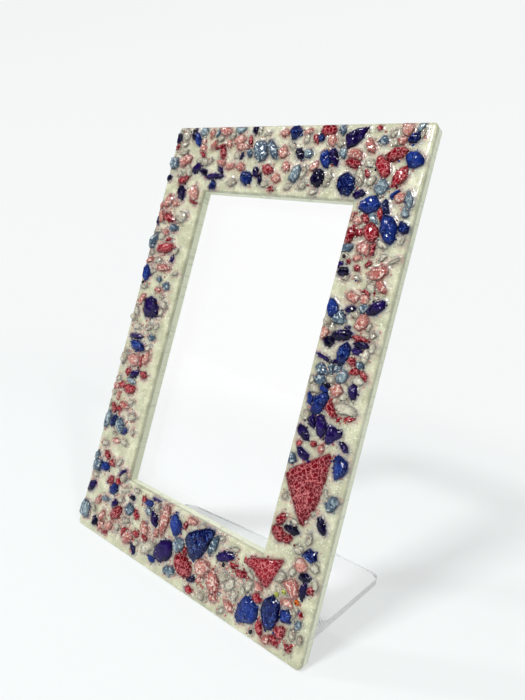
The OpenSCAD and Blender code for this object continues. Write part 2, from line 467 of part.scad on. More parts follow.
function furthest(outline, n) = max([for (p = outline) n * p]);
function nearest(outline, n) = min([for (p = outline) n * p]);
function side_axes(outline) = [for (i = [0:len(outline) - 1])
    let (e = outline[(i + 1) % len(outline)] - outline[i]) [e.y, -e.x] / norm(e)];

// The direction from the first outline to the second along which they lie furthest apart
function parting_axis(first, second) =
    let (axes = concat(side_axes(first), [for (n = side_axes(second)) -n]),
        gaps = [for (n = axes) nearest(second, n) - furthest(first, n)])
    axes[search(max(gaps), gaps)[0]];

// A bead keeps its outline, and of two other pieces the smaller gives way more.
function weight(i) = mosaic[i][0] == bead_kind ? 1000 * spans[i] : pow(spans[i], 2);

// The straight cut that keeps piece i clear of piece j, as [direction, reach], or nothing
function parting_cut(i, j) =
    let (a = min(i, j), b = max(i, j), n = parting_axis(mosaic[a][2], mosaic[b][2]),
        end_a = furthest(mosaic[a][2], n), start_b = nearest(mosaic[b][2], n),
        excess = end_a - start_b + chip_seam, give_a = weight(b) / (weight(a) + weight(b)))
    excess <= 0 ? [] :
    i == a ? [[n, end_a - excess * give_a]] :
    [[-n, -start_b - excess * (1 - give_a)]];

// The cut that keeps a piece out of the window: square to the way to the window's nearest
// point, or along its nearest side for a piece whose middle is already there
function window_cut(c) =
    let (window_x = window_w / 2 + bare_rim, window_low = end_border - bare_rim,
        window_high = panel_h - end_border + bare_rim,
        gaps = [c.x - window_x, -window_x - c.x, c.y - window_high, window_low - c.y],
        cuts = [[[-1, 0], -window_x], [[1, 0], -window_x], [[0, -1], -window_high],
            [[0, 1], window_low]],
        nearest_point = [min(window_x, max(-window_x, c.x)),
            min(window_high, max(window_low, c.y))],
        way = norm(nearest_point - c), n = (nearest_point - c) / max(way, shortest_side))
    way < shortest_side ? cuts[search(max(gaps), gaps)[0]] : [n, n * nearest_point];

// The cuts that keep a piece on the panel and out of the window
function edge_cuts(c) = [[[1, 0], panel_w / 2 - bare_rim], [[-1, 0], panel_w / 2 - bare_rim],
    [[0, 1], panel_h - bare_rim], [[0, -1], -bare_rim], window_cut(c)];

function cut_outline(outline, cut) =
    [for (i = [0:max(0, len(outline) - 1)])
        let (p = outline[i], q = outline[(i + 1) % max(1, len(outline))],
            out_p = p == undef ? 0 : cut[0] * p - cut[1],
            out_q = q == undef ? 0 : cut[0] * q - cut[1])
        each p == undef ? [] : concat(out_p <= 0 ? [p] : [],
            out_p * out_q < 0 ? [p + (q - p) * out_p / (out_p - out_q)] : [])];

function cut_by_all(outline, cuts, k = 0) =
    k >= len(cuts) || len(outline) < 3 ? outline :
    cut_by_all(cut_outline(outline, cuts[k]), cuts, k + 1);

function without_short_sides(outline) =
    [for (i = [0:max(0, len(outline) - 1)])
        if (len(outline) > 2 && norm(outline[i] - outline[(i + 1) % len(outline)])
            > shortest_side) outline[i]];

// The finished outline of piece i, trimmed clear of its neighbours and the edges
function trimmed(i) =
    let (near_i = [for (j = [0:len(mosaic) - 1])
            if (j != i && norm(middles[i] - middles[j]) < spans[i] + spans[j] + chip_seam) j],
        cuts = concat(edge_cuts(middles[i]), [for (j = near_i) each parting_cut(i, j)]))
    without_short_sides(cut_by_all(mosaic[i][2], cuts));

function size_of(outline) = len(outline) < 3 ? 0 : sqrt(signed_area(outline));

function is_set_through(i) =
    mosaic[i][0] == shard_kind || (mosaic[i][0] == chip_kind && 2 * spans[i] > set_through_l);

function rise_of(i, outline) = mosaic[i][0] == shard_kind ? rise_most * shards[mosaic[i][1]][2] :
    min(rise_most, rise_least + size_of(outline) * rise_per_size_share);

module on_panel() {
    translate([0, panel_y, 0]) rotate([90 - lean, 0, 0]) children();
}

module rounded_panel() {
    square_w = panel_w - 2 * corner_r;
    translate([-square_w / 2, 0]) square([square_w, panel_h]);
    translate([-panel_w / 2, corner_r]) square([panel_w, panel_h - 2 * corner_r]);
    for (x = [-1, 1], y = [corner_r, panel_h - corner_r])
        translate([x * square_w / 2, y]) circle(corner_r, $fn = 48);
}

module panel_outline() {
    difference() {
        rounded_panel();
        translate([-window_w / 2, end_border]) square([window_w, window_h]);
    }
}

// The sheet's edge seen from the side, about the centre of the foot's bend
module sheet_profile() {
    back_out = bend_r + sheet_t;
    front_in = back_out + photo_slot;
    leaf_top = photo_h - bend_up;
    front_low = (strip_t - bend_z - front_in * sin(lean)) / cos(lean);
    far = photo_h + foot_d;
    rotate(-lean) {
        translate([-back_out, 0]) square([sheet_t, leaf_top]);
        translate([-front_in - sheet_t, front_low]) square([sheet_t, leaf_top - front_low]);
        translate([-back_out - photo_slot / 2, leaf_top]) difference() {
            circle(photo_slot / 2 + sheet_t, $fn = 96);
            circle(photo_slot / 2, $fn = 48);
            translate([-far, -far]) square([2 * far, far]);
        }
    }
    intersection() {
        difference() {
            circle(back_out - bend_thinning, $fn = 96);
            circle(bend_r + bend_thinning, $fn = 96);
        }
        polygon([[0, 0], far * [-cos(lean + run_on), sin(lean + run_on)], far * [-1, -1],
            far * [sin(run_on), -cos(run_on)]]);
    }
    translate([0, -back_out]) square([foot_d, sheet_t]);
}

module acrylic_stand() color(acrylic) {
    difference() {
        translate([0, bend_y, bend_z]) rotate([90, 0, 90])
            linear_extrude(photo_w, center = true) sheet_profile();
        for (side = [0, 1]) mirror([side, 0, 0])
            translate([photo_w / 2 - foot_corner_r, depth / 2 - foot_corner_r, -overrun])
            difference() {
                cube([foot_corner_r + overrun, foot_corner_r + overrun, sheet_t + 2 * overrun]);
                cylinder(sheet_t + 2 * overrun, r = foot_corner_r, $fn = 96);
            }
    }
}

module glass_plate() color(glass) on_panel() linear_extrude(plate_t) panel_outline();

module edge_bevel(edge_l) {
    rotate([90, 0, 0]) linear_extrude(edge_l + 2 * overrun, center = true)
        polygon([[-resin_bevel - overrun, overrun], [overrun, overrun],
            [overrun, -resin_bevel - overrun]]);
}

// A bevel is cut along each straight edge of the resin's face, outside and in the window.
module resin_bevels() {
    translate([0, panel_h / 2, bed_top]) {
        for (side = [0, 1]) mirror([side, 0, 0]) {
            translate([panel_w / 2, 0, 0]) edge_bevel(panel_h);
            translate([-window_w / 2, 0, 0]) edge_bevel(window_h - 2 * overrun);
        }
        for (side = [0, 1]) mirror([0, side, 0]) {
            translate([0, panel_h / 2, 0]) rotate(90) edge_bevel(panel_w);
            translate([0, -window_h / 2, 0]) rotate(90) edge_bevel(window_w - 2 * overrun);
        }
    }
}

function spread(outline, gap) = let (c = middle(outline))
    [for (p = outline) p + (p - c) * gap / norm(p - c)];

module resin_bed() color(pale_resin) on_panel() difference() {
    translate([0, 0, plate_t]) linear_extrude(resin_t) difference() {
        panel_outline();
        for (i = [0:len(mosaic) - 1]) if (is_set_through(i)) {
            outline = trimmed(i);
            if (len(outline) > 2) polygon(spread(outline, seat_gap));
        }
    }
    resin_bevels();
}

// Clear strips bond the sheet's front leaf to the back of the plate, clear of the window.
module side_bonding_strips() color(glass) on_panel()
    for (side = [0, 1]) mirror([side, 0, 0])
        translate([photo_w / 2 - strip_inset - strip_w, end_border, -strip_t])
            cube([strip_w, window_h, strip_t]);

module cross_bonding_strips() color(glass) on_panel()
    for (y = [end_border - strip_inset - cross_strip_w, photo_h - cross_strip_w])
        translate([-window_w / 2, y, -strip_t]) cube([window_w, cross_strip_w, strip_t]);

// A piece of glass: straight sides up to its shoulder, then facets leaning in to a blunt peak
module glass_piece(outline, base, rise, seed) {
    n = len(outline);
    c = middle(outline);
    chance = rands(-1, 1, n + 3, seed);
    slide = size_of(outline) * slide_share * [chance[n], chance[n + 1]];
    shoulder = bed_top + rise * shoulder_share;
    crown = [for (i = [0:n - 1]) let (p = c + slide + (outline[i] - c) * facet_width_share)
        [p.x, p.y, bed_top + rise * (facet_rise_share + uneven_share * chance[i])]];
    points = concat([for (p = outline) [p.x, p.y, base]],
        [for (p = outline) [p.x, p.y, shoulder]], crown,
        [[c.x + slide.x, c.y + slide.y, bed_top + rise]]);
    around = [for (i = [0:n - 1]) [i, (i + 1) % n]];
    faces = concat([[for (i = [0:n - 1]) i]],
        [for (k = [0, n], e = around) each [[k + e[0], k + n + e[0], k + n + e[1]],
            [k + e[0], k + n + e[1], k + e[1]]]],
        [for (e = around) [2 * n + e[0], 3 * n, 2 * n + e[1]]]);
    polyhedron(points, faces);
}

module mosaic_piece(i) {
    outline = trimmed(i);
    if (len(outline) > 2)
        glass_piece(outline, is_set_through(i) ? plate_t : bed_top, rise_of(i, outline), i);
}

module shard(s, paint) color(paint) on_panel() mosaic_piece(s);

module chips(group, paint) color(paint) on_panel()
    for (i = [0:len(mosaic) - 1])
        if (mosaic[i][0] == chip_kind && mosaic[i][1] == group) mosaic_piece(i);

// A bead stands on the resin, with its bore square to the panel and its seat ground flat.
module beads(group, paint) color(paint) on_panel()
    for (row = bead_groups[group][0]) {
        r = side_border * bead_groups[group][1] / 2;
        c = spot(row[0], row[1], row[2]);
        translate([c.x, c.y, bed_top]) difference() {
            translate([0, 0, r * bead_seat_share]) sphere(r, $fn = 48);
            translate([0, 0, -r]) cube([2 * r + overrun, 2 * r + overrun, 2 * r], center = true);
            cylinder(2 * r + overrun, r = r * bead_bore_share, center = true, $fn = 32);
        }
    }

module cobalt_slab() shard(0, cobalt);
module cobalt_block() shard(1, cobalt);
module cobalt_boulder() shard(2, cobalt);
module cobalt_shield() shard(3, cobalt);
module cobalt_teardrop() shard(4, cobalt);
module navy_wedge() shard(5, navy);
module navy_boulder() shard(6, navy);
module violet_triangle() shard(7, navy);
module ruby_shard() shard(8, ruby);
module ruby_triangle() shard(9, ruby);
module top_cobalt_chips() chips(0, cobalt);
module top_steel_chips() chips(1, steel);
module top_navy_chips() chips(2, navy);
module top_ruby_chips() chips(3, ruby);
module top_rose_chips() chips(4, rose);
module top_clear_chips() chips(5, clear);
module right_cobalt_chips() chips(6, cobalt);
module right_steel_chips() chips(7, steel);
module right_navy_chips() chips(8, navy);
module right_ruby_chips() chips(9, ruby);
module right_rose_chips() chips(10, rose);
module right_clear_chips() chips(11, clear);
module bottom_cobalt_chips() chips(12, cobalt);
module bottom_steel_chips() chips(13, steel);
module bottom_navy_chips() chips(14, navy);
module bottom_ruby_chips() chips(15, ruby);
module bottom_rose_chips() chips(16, rose);
module bottom_clear_chips() chips(17, clear);
module left_cobalt_chips() chips(18, cobalt);
module left_steel_chips() chips(19, steel);
module left_navy_chips() chips(20, navy);
module left_ruby_chips() chips(21, ruby);
module left_rose_chips() chips(22, rose);
module left_clear_chips() chips(23, clear);
module crystal_beads() beads(0, clear);
module ruby_beads() beads(1, ruby);
module black_beads() beads(2, black);
module lime_beads() beads(3, lime);
module amber_bead() beads(4, amber);

acrylic_stand();
glass_plate();
resin_bed();
side_bonding_strips();
cross_bonding_strips();
cobalt_slab();
cobalt_block();
cobalt_boulder();
cobalt_shield();
cobalt_teardrop();
navy_wedge();
navy_boulder();
violet_triangle();
ruby_shard();
ruby_triangle();
top_cobalt_chips();
top_steel_chips();
top_navy_chips();
top_ruby_chips();
top_rose_chips();
top_clear_chips();
right_cobalt_chips();
right_steel_chips();
right_navy_chips();
right_ruby_chips();
right_rose_chips();
right_clear_chips();
bottom_cobalt_chips();
bottom_steel_chips();
bottom_navy_chips();
bottom_ruby_chips();
bottom_rose_chips();
bottom_clear_chips();
left_cobalt_chips();
left_steel_chips();
left_navy_chips();
left_ruby_chips();
left_rose_chips();
left_clear_chips();
crystal_beads();
ruby_beads();
black_beads();
lime_beads();
amber_bead();
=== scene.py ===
import math
import random
import bpy
import numpy as np
from mathutils import Matrix, Vector, kdtree, noise


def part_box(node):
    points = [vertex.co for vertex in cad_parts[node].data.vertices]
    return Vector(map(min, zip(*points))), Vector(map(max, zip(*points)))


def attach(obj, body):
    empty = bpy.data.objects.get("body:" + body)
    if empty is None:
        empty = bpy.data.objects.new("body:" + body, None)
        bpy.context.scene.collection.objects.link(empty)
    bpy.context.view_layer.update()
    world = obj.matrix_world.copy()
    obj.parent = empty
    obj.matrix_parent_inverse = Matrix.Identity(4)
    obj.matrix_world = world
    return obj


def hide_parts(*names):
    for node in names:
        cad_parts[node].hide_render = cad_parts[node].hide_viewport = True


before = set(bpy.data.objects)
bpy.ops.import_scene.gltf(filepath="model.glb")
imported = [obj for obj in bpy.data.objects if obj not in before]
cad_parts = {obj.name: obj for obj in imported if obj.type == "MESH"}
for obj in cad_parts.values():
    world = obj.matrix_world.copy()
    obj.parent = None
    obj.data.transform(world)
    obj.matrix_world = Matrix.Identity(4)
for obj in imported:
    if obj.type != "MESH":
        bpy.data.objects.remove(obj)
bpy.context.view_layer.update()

print("frame loaded,", len(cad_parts), "nodes")

# lengths are in metres and angles in degrees
# the panel's own space: x across, v up the slope, z from the plate's back face to the front
panel = {"lean": 5.0, "wide": 0.112, "high": 0.173, "sideBorder": 0.022, "endBorder": 0.0265,
         "plate": 0.003, "resin": 0.002}
bedTop = panel["plate"] + panel["resin"]
halfWide, high = panel["wide"] / 2, panel["high"]
windowX = halfWide - panel["sideBorder"]
windowLow, windowHigh = panel["endBorder"], high - panel["endBorder"]
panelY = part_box("glass_plate")[0].y + panel["plate"] * math.cos(math.radians(panel["lean"]))
toFrame = Matrix.Translation((0, panelY, 0)) @ Matrix.Rotation(math.radians(90 - panel["lean"]), 4, "X")
toPanel = toFrame.inverted()


# how far a place lies from the panel's outer edge and from the window's edge
def edgeGaps(x, v):
    outer = min(halfWide - abs(x), v, high - v)
    inner = max(abs(x) - windowX, windowLow - v, v - windowHigh)
    return outer, inner


# the right and upper borders hold less crushed glass
def isCleaner(x, v):
    return x > windowX or v > windowHigh


# picking, editing and finishing
meshForm = {"weld": 0.000004, "sharp": 50, "smooth": 30}


def pickOnly(*pieces):
    bpy.ops.object.select_all(action="DESELECT")
    for piece in pieces:
        piece.select_set(True)
    bpy.context.view_layer.objects.active = pieces[0]


# leaves the piece with nothing selected, in the given kind of selection
def selectNothing(piece, selectMode):
    pickOnly(piece)
    bpy.ops.object.mode_set(mode="EDIT")
    bpy.ops.mesh.select_mode(type=selectMode)
    bpy.ops.mesh.select_all(action="DESELECT")
    bpy.ops.object.mode_set(mode="OBJECT")


# runs one step of editing on the whole mesh
def editAll(piece, step, **settings):
    pickOnly(piece)
    bpy.ops.object.mode_set(mode="EDIT")
    bpy.ops.mesh.select_all(action="SELECT")
    step(**settings)
    bpy.ops.object.mode_set(mode="OBJECT")


def applyAll(piece):
    pickOnly(piece)
    for modifier in list(piece.modifiers):
        bpy.ops.object.modifier_apply(modifier=modifier.name)


def roundEdges(piece, width, steps):
    bevel = piece.modifiers.new("edge", "BEVEL")
    bevel.width = width
    bevel.segments = steps
    bevel.limit_method = "ANGLE"
    bevel.angle_limit = math.radians(meshForm["sharp"])
    applyAll(piece)


def shadeSmooth(piece, angle):
    pickOnly(piece)
    bpy.ops.object.shade_smooth_by_angle(angle=math.radians(angle))


def finishPiece(piece, nodes, material):
    piece.data.materials.clear()
    piece.data.materials.append(material)
    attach(piece, "root")
    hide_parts(*nodes)


def pieceName(nodeName):
    words = nodeName.split("_")
    return words[0] + "".join(word.capitalize() for word in words[1:])


def copyOfNode(nodeName):
    piece = bpy.data.objects.new(pieceName(nodeName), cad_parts[nodeName].data.copy())
    bpy.context.scene.collection.objects.link(piece)
    piece.data.materials.clear()
    editAll(piece, bpy.ops.mesh.remove_doubles, threshold=meshForm["weld"])
    return piece


def keepValues(mesh, name, values):
    attribute = mesh.attributes.new(name, "FLOAT", "POINT")
    attribute.data.foreach_set("value", np.asarray(values, np.float32))


# building blocks of the materials
def newMaterial(name):
    material = bpy.data.materials.new(name)
    material.use_nodes = True
    return material, material.node_tree, material.node_tree.nodes["Principled BSDF"]


# links a socket to a node's output, or sets it to a plain value
def connect(tree, socket, value):
    if hasattr(value, "is_output"):
        tree.links.new(value, socket)
    elif socket.type == "RGBA":
        socket.default_value = (*value, 1)
    else:
        socket.default_value = value


def setInputs(tree, node, values):
    for name, value in values.items():
        connect(tree, node.inputs[name], value)


def addNode(tree, kind, values=None, **settings):
    node = tree.nodes.new("ShaderNode" + kind)
    for key, value in settings.items():
        setattr(node, key, value)
    setInputs(tree, node, values or {})
    return node


def placeOf(tree):
    return addNode(tree, "TexCoord").outputs["Object"]


def valueOf(tree, name):
    return addNode(tree, "Attribute", attribute_name=name).outputs["Fac"]


def mathOf(tree, operation, *values):
    node = addNode(tree, "Math", operation=operation)
    for socket, value in zip(node.inputs, values):
        connect(tree, socket, value)
    return node.outputs[0]


def vectorOf(tree, operation, *values):
    node = addNode(tree, "VectorMath", operation=operation)
    for socket, value in zip(node.inputs, values):
        connect(tree, socket, value)
    return node.outputs["Value" if operation == "LENGTH" else "Vector"]


def noiseAt(tree, place, scale, detail=2, distortion=0):
    return addNode(tree, "TexNoise", {"Vector": place, "Scale": scale, "Detail": detail,
                                      "Distortion": distortion}).outputs


def cellsAt(tree, place, scale, feature="F1"):
    return addNode(tree, "TexVoronoi", {"Vector": place, "Scale": scale}, feature=feature).outputs


def mixColour(tree, share, first, second, blend="MIX"):
    mix = addNode(tree, "Mix", data_type="RGBA", blend_type=blend)
    for socket, value in ((mix.inputs[0], share), (mix.inputs[6], first), (mix.inputs[7], second)):
        connect(tree, socket, value)
    return mix.outputs[2]


def mixValue(tree, share, first, second):
    mix = addNode(tree, "Mix", data_type="FLOAT")
    for socket, value in ((mix.inputs[0], share), (mix.inputs[2], first), (mix.inputs[3], second)):
        connect(tree, socket, value)
    return mix.outputs[0]


# a soft step that is 0 at low and 1 at high, and runs downwards where low is the larger
def ramp(tree, value, low, high):
    return addNode(tree, "MapRange", {"Value": value, "From Min": low, "From Max": high},
                   interpolation_type="SMOOTHSTEP").outputs["Result"]


# a straight line from least at 0 to most at 1
def spread(tree, value, least, most):
    return addNode(tree, "MapRange", {"Value": value, "To Min": least, "To Max": most}).outputs["Result"]


def addBump(tree, shader, height, strength, depth):
    bump = addNode(tree, "Bump", {"Strength": strength, "Distance": depth, "Height": height})
    connect(tree, shader.inputs["Normal"], bump.outputs["Normal"])


# the first shader, with the second over it by a share
def mixSurface(tree, share, first, second):
    mixed = addNode(tree, "MixShader")
    for socket, value in zip(mixed.inputs, (share, first, second)):
        connect(tree, socket, value)
    connect(tree, tree.nodes["Material Output"].inputs["Surface"], mixed.outputs["Shader"])


# broken glass: cloudy body, thin veins, pale flecks and cracks, and painted shade darkening the low rim
# where each chip meets the resin
glassForm = {"apart": (0.3, 0.17, 0.23), "toneShift": 0.4, "cloudDetail": 4, "cloudBend": 0.8,
             "bodyLow": 0.5, "bodyHigh": 1.0, "veinDetail": 1, "veinBend": 1.2, "middle": 0.5,
             "fleckSoft": 0.05, "crackWarp": (0.0011, 0.0011, 0.0011), "crackScale": 640,
             "crackOuter": 0.068, "crackInner": 0.02, "rimHigh": 0.9, "rimLow": 0.25,
             "rimShade": (0.16, 0.15, 0.22), "rippleScale": 800, "roughLeast": 0.05, "roughMost": 0.2,
             "bump": 0.3, "bumpDepth": 0.00016}
glassShine = {"IOR": 1.52, "Specular IOR Level": 0.04, "Coat Weight": 0.5, "Coat IOR": 1.38,
              "Coat Roughness": 0.03}


def makeGlassGroup():
    group = bpy.data.node_groups.new("brokenGlass", "ShaderNodeTree")
    for kind, way, labels in (
            ("NodeSocketColor", "INPUT", ("deep", "light", "vein", "fleck")),
            ("NodeSocketFloat", "INPUT", ("cloudScale", "veinScale", "veinWidth", "fleckScale",
                                          "fleckStart", "crackle", "rim")),
            ("NodeSocketColor", "OUTPUT", ("colour",)),
            ("NodeSocketFloat", "OUTPUT", ("rough", "height"))):
        for label in labels:
            group.interface.new_socket(name=label, in_out=way, socket_type=kind)
    given = group.nodes.new("NodeGroupInput").outputs
    result = group.nodes.new("NodeGroupOutput").inputs
    form = glassForm
    tone = valueOf(group, "tone")

    # every chip reads its own part of the patterns
    own = vectorOf(group, "MULTIPLY_ADD", tone, form["apart"], placeOf(group))
    cloud = noiseAt(group, own, given["cloudScale"], form["cloudDetail"], form["cloudBend"])["Fac"]
    body = ramp(group, mathOf(group, "MULTIPLY_ADD", tone, form["toneShift"], cloud),
                form["bodyLow"], form["bodyHigh"])
    colour = mixColour(group, body, given["deep"], given["light"])

    veins = noiseAt(group, own, given["veinScale"], form["veinDetail"], form["veinBend"])["Fac"]
    offVein = mathOf(group, "ABSOLUTE", mathOf(group, "SUBTRACT", veins, form["middle"]))
    colour = mixColour(group, ramp(group, offVein, given["veinWidth"], 0), colour, given["vein"])

    fleck = noiseAt(group, own, given["fleckScale"])
    fleckEnd = mathOf(group, "ADD", given["fleckStart"], form["fleckSoft"])
    flecks = ramp(group, fleck["Fac"], given["fleckStart"], fleckEnd)
    # pale cracks round small cells, as in crackled ruby glass
    warped = vectorOf(group, "MULTIPLY_ADD", fleck["Color"], form["crackWarp"], own)
    offCrack = cellsAt(group, warped, form["crackScale"], "DISTANCE_TO_EDGE")["Distance"]
    cracks = mathOf(group, "MULTIPLY", ramp(group, offCrack, form["crackOuter"], form["crackInner"]),
                  given["crackle"])
    colour = mixColour(group, mathOf(group, "MAXIMUM", flecks, cracks), colour, given["fleck"])

    # painted shade: the colour darkens towards the chip's foot, by its rise above the resin
    rim = mathOf(group, "MULTIPLY", ramp(group, valueOf(group, "rise"), form["rimHigh"], form["rimLow"]),
               given["rim"])
    rimPaintedShade = mixColour(group, 1.0, colour, form["rimShade"], "MULTIPLY")
    connect(group, result["colour"], mixColour(group, rim, colour, rimPaintedShade))
    connect(group, result["height"], cellsAt(group, own, form["rippleScale"], "SMOOTH_F1")["Distance"])
    connect(group, result["rough"], spread(group, cloud, form["roughLeast"], form["roughMost"]))
    return group


glassGroup = makeGlassGroup()
# rim sets how strong the painted shade at each chip's low rim is
glassColours = {
    "cobalt": {"deep": (0.0015, 0.0025, 0.04), "light": (0.008, 0.026, 0.19), "vein": (0.05, 0.1, 0.34),
               "fleck": (0.12, 0.24, 0.45), "cloudScale": 380, "veinScale": 420, "veinWidth": 0.025,
               "fleckScale": 1700, "fleckStart": 0.66, "rim": 0.9},
    "steel": {"deep": (0.06, 0.1, 0.15), "light": (0.24, 0.32, 0.35), "vein": (0.012, 0.018, 0.06),
              "fleck": (0.45, 0.52, 0.54), "cloudScale": 480, "veinScale": 480, "veinWidth": 0.042,
              "fleckScale": 1100, "fleckStart": 0.56, "rim": 0.95, "clear": 0.15},
    "navy": {"deep": (0.0008, 0.0003, 0.01), "light": (0.012, 0.003, 0.07), "vein": (0.06, 0.04, 0.17),
             "fleck": (0.4, 0.37, 0.55), "cloudScale": 320, "veinScale": 300, "veinWidth": 0.012,
             "fleckScale": 1100, "fleckStart": 0.7, "rim": 0.8},
    "ruby": {"deep": (0.12, 0.001, 0.006), "light": (0.24, 0.003, 0.013), "vein": (0.04, 0.001, 0.006),
             "fleck": (0.5, 0.14, 0.145), "cloudScale": 500, "veinScale": 700, "veinWidth": 0.022,
             "fleckScale": 1300, "fleckStart": 0.58, "rim": 0.55, "crackle": 0.9},
    "rose": {"deep": (0.38, 0.1, 0.085), "light": (0.55, 0.25, 0.2), "vein": (0.16, 0.008, 0.02),
             "fleck": (0.68, 0.55, 0.47), "cloudScale": 520, "veinScale": 760, "veinWidth": 0.04,
             "fleckScale": 1200, "fleckStart": 0.55, "rim": 0.7, "clear": 0.1, "crackle": 0.3},
    "clear": {"deep": (0.43, 0.4, 0.31), "light": (0.66, 0.63, 0.5), "vein": (0.2, 0.07, 0.06),
              "fleck": (0.75, 0.75, 0.64), "cloudScale": 480, "veinScale": 520, "veinWidth": 0.03,
              "fleckScale": 1200, "fleckStart": 0.58, "rim": 0.6, "clear": 0.3},
    "black": {"deep": (0.004, 0.004, 0.006), "light": (0.02, 0.02, 0.03), "vein": (0.004, 0.004, 0.006),
              "fleck": (0.1, 0.1, 0.12), "cloudScale": 300, "veinScale": 300, "veinWidth": 0.01,
              "fleckScale": 900, "fleckStart": 0.75, "rim": 0.3},
    "lime": {"deep": (0.25, 0.3, 0.04), "light": (0.5, 0.55, 0.12), "vein": (0.1, 0.14, 0.05),
             "fleck": (0.7, 0.72, 0.4), "cloudScale": 400, "veinScale": 400, "veinWidth": 0.02,
             "fleckScale": 900, "fleckStart": 0.65, "rim": 0.5, "clear": 0.2},
    "amber": {"deep": (0.55, 0.1, 0.01), "light": (0.85, 0.28, 0.04), "vein": (0.3, 0.04, 0.01),
              "fleck": (0.8, 0.4, 0.15), "cloudScale": 400, "veinScale": 400, "veinWidth": 0.01,
              "fleckScale": 900, "fleckStart": 0.68, "rim": 0.5, "clear": 0.2},
}


def makeGlass(name, ownLook):
    look = {"clear": 0.0, "crackle": 0.0, **ownLook}
    material, tree, shader = newMaterial(name + "Glass")
    group = addNode(tree, "Group", node_tree=glassGroup)
    for socket in group.inputs:
        connect(tree, socket, look[socket.name])
    connect(tree, shader.inputs["Base Color"], group.outputs["colour"])
    connect(tree, shader.inputs["Roughness"], group.outputs["rough"])
    addBump(tree, shader, group.outputs["height"], glassForm["bump"], glassForm["bumpDepth"])
    setInputs(tree, shader, glassShine)
    shader.inputs["Transmission Weight"].default_value = look["clear"]
    return material


glass = {name: makeGlass(name, look) for name, look in glassColours.items()}

# resin: cloudy and grainy with painted glints, with crushed glass near the chips, and painted shade and
# painted coloured light from the glass round them
resinLook = {"pale": (0.59, 0.592, 0.42), "shade": (0.41, 0.413, 0.275), "cloud": (0.35, 0.68),
             "glint": (0.82, 0.82, 0.68), "bright": (0.58, 0.72), "dull": (0.33, 0.31, 0.23),
             "dim": (0.4, 0.28), "cloudScale": 260, "cloudDetail": 5, "grainScale": 1700,
             "grainDetail": 3, "warpScale": 700, "warp": (0.0009, 0.0009, 0.0009),
             "driftScale": 130, "driftDetail": 1, "drift": (0.36, 0.56),
             "bubbleScale": 520, "bubble": (0.05, 0.2), "wave": 1.5, "lineHeight": -1.2,
             "bump": 0.6, "bumpDepth": 0.00016}
crushedLook = {"scale": 900, "body": (0.5, 0.4, 0.3), "bodyShare": 0.5, "pinkGrain": (0.7, 0.42, 0.36),
               "pink": (0.45, 0.6), "blueGrain": (0.2, 0.26, 0.36), "blue": (0.8, 0.86),
               "grainShare": 0.65, "redLine": (0.2, 0.03, 0.03), "greyLine": (0.15, 0.12, 0.11),
               "grey": (0.4, 0.6), "line": (0.11, 0.01), "lineShare": 0.95}
resinShine = {"Roughness": 0.4, "IOR": 1.45, "Coat Weight": 0.3, "Coat Roughness": 0.12,
              "Subsurface Weight": 0.25, "Subsurface Radius": (1.0, 0.95, 0.7),
              "Subsurface Scale": 0.0012}


# returns the colour with crushed glass in it, and the mask of its dark lines
def addCrushedGlass(tree, place, body):
    warp = noiseAt(tree, place, resinLook["warpScale"])["Color"]
    bent = vectorOf(tree, "MULTIPLY_ADD", warp, resinLook["warp"], place)
    drift = noiseAt(tree, place, resinLook["driftScale"], resinLook["driftDetail"])["Fac"]
    patch = mathOf(tree, "MULTIPLY", valueOf(tree, "crushed"), ramp(tree, drift, *resinLook["drift"]))
    body = mixColour(tree, mathOf(tree, "MULTIPLY", patch, crushedLook["bodyShare"]), body,
                     crushedLook["body"])
    cellColour = cellsAt(tree, bent, crushedLook["scale"])["Color"]
    hue = addNode(tree, "SeparateColor", {"Color": cellColour}).outputs
    # pale crushed-glass grains, in the same pale colour as the painted glints
    grain = mixColour(tree, ramp(tree, hue[0], *crushedLook["pink"]), resinLook["glint"],
                      crushedLook["pinkGrain"])
    grain = mixColour(tree, ramp(tree, hue[1], *crushedLook["blue"]), grain, crushedLook["blueGrain"])
    body = mixColour(tree, mathOf(tree, "MULTIPLY", patch, crushedLook["grainShare"]), body, grain)
    offLine = cellsAt(tree, bent, crushedLook["scale"], "DISTANCE_TO_EDGE")["Distance"]
    line = mathOf(tree, "MULTIPLY", ramp(tree, offLine, *crushedLook["line"]),
                mathOf(tree, "MULTIPLY", patch, crushedLook["lineShare"]))
    lineColour = mixColour(tree, ramp(tree, hue[2], *crushedLook["grey"]), crushedLook["redLine"],
                           crushedLook["greyLine"])
    return mixColour(tree, line, body, lineColour), line


def makeResin():
    material, tree, shader = newMaterial("paleResin")
    look = resinLook
    place = placeOf(tree)
    cloud = noiseAt(tree, place, look["cloudScale"], look["cloudDetail"])["Fac"]
    grain = noiseAt(tree, place, look["grainScale"], look["grainDetail"])["Fac"]
    body = mixColour(tree, ramp(tree, cloud, *look["cloud"]), look["shade"], look["pale"])
    # painted glints: the resin turns pale where the fine grain noise is highest
    body = mixColour(tree, ramp(tree, grain, *look["bright"]), body, look["glint"])
    body = mixColour(tree, ramp(tree, grain, *look["dim"]), body, look["dull"])
    body, line = addCrushedGlass(tree, place, body)
    # painted shade and painted coloured light from the chips, read from the tint attribute, strongest at the
    # chips' edges
    tint = addNode(tree, "Attribute", attribute_name="tint").outputs
    connect(tree, shader.inputs["Base Color"], mixColour(tree, tint["Alpha"], body, tint["Color"]))
    bubbles = cellsAt(tree, place, look["bubbleScale"])["Distance"]
    wave = mathOf(tree, "MULTIPLY_ADD", cloud, look["wave"], ramp(tree, bubbles, *look["bubble"]))
    height = mathOf(tree, "MULTIPLY_ADD", line, look["lineHeight"], wave)
    addBump(tree, shader, height, look["bump"], look["bumpDepth"])
    setInputs(tree, shader, resinShine)
    return material


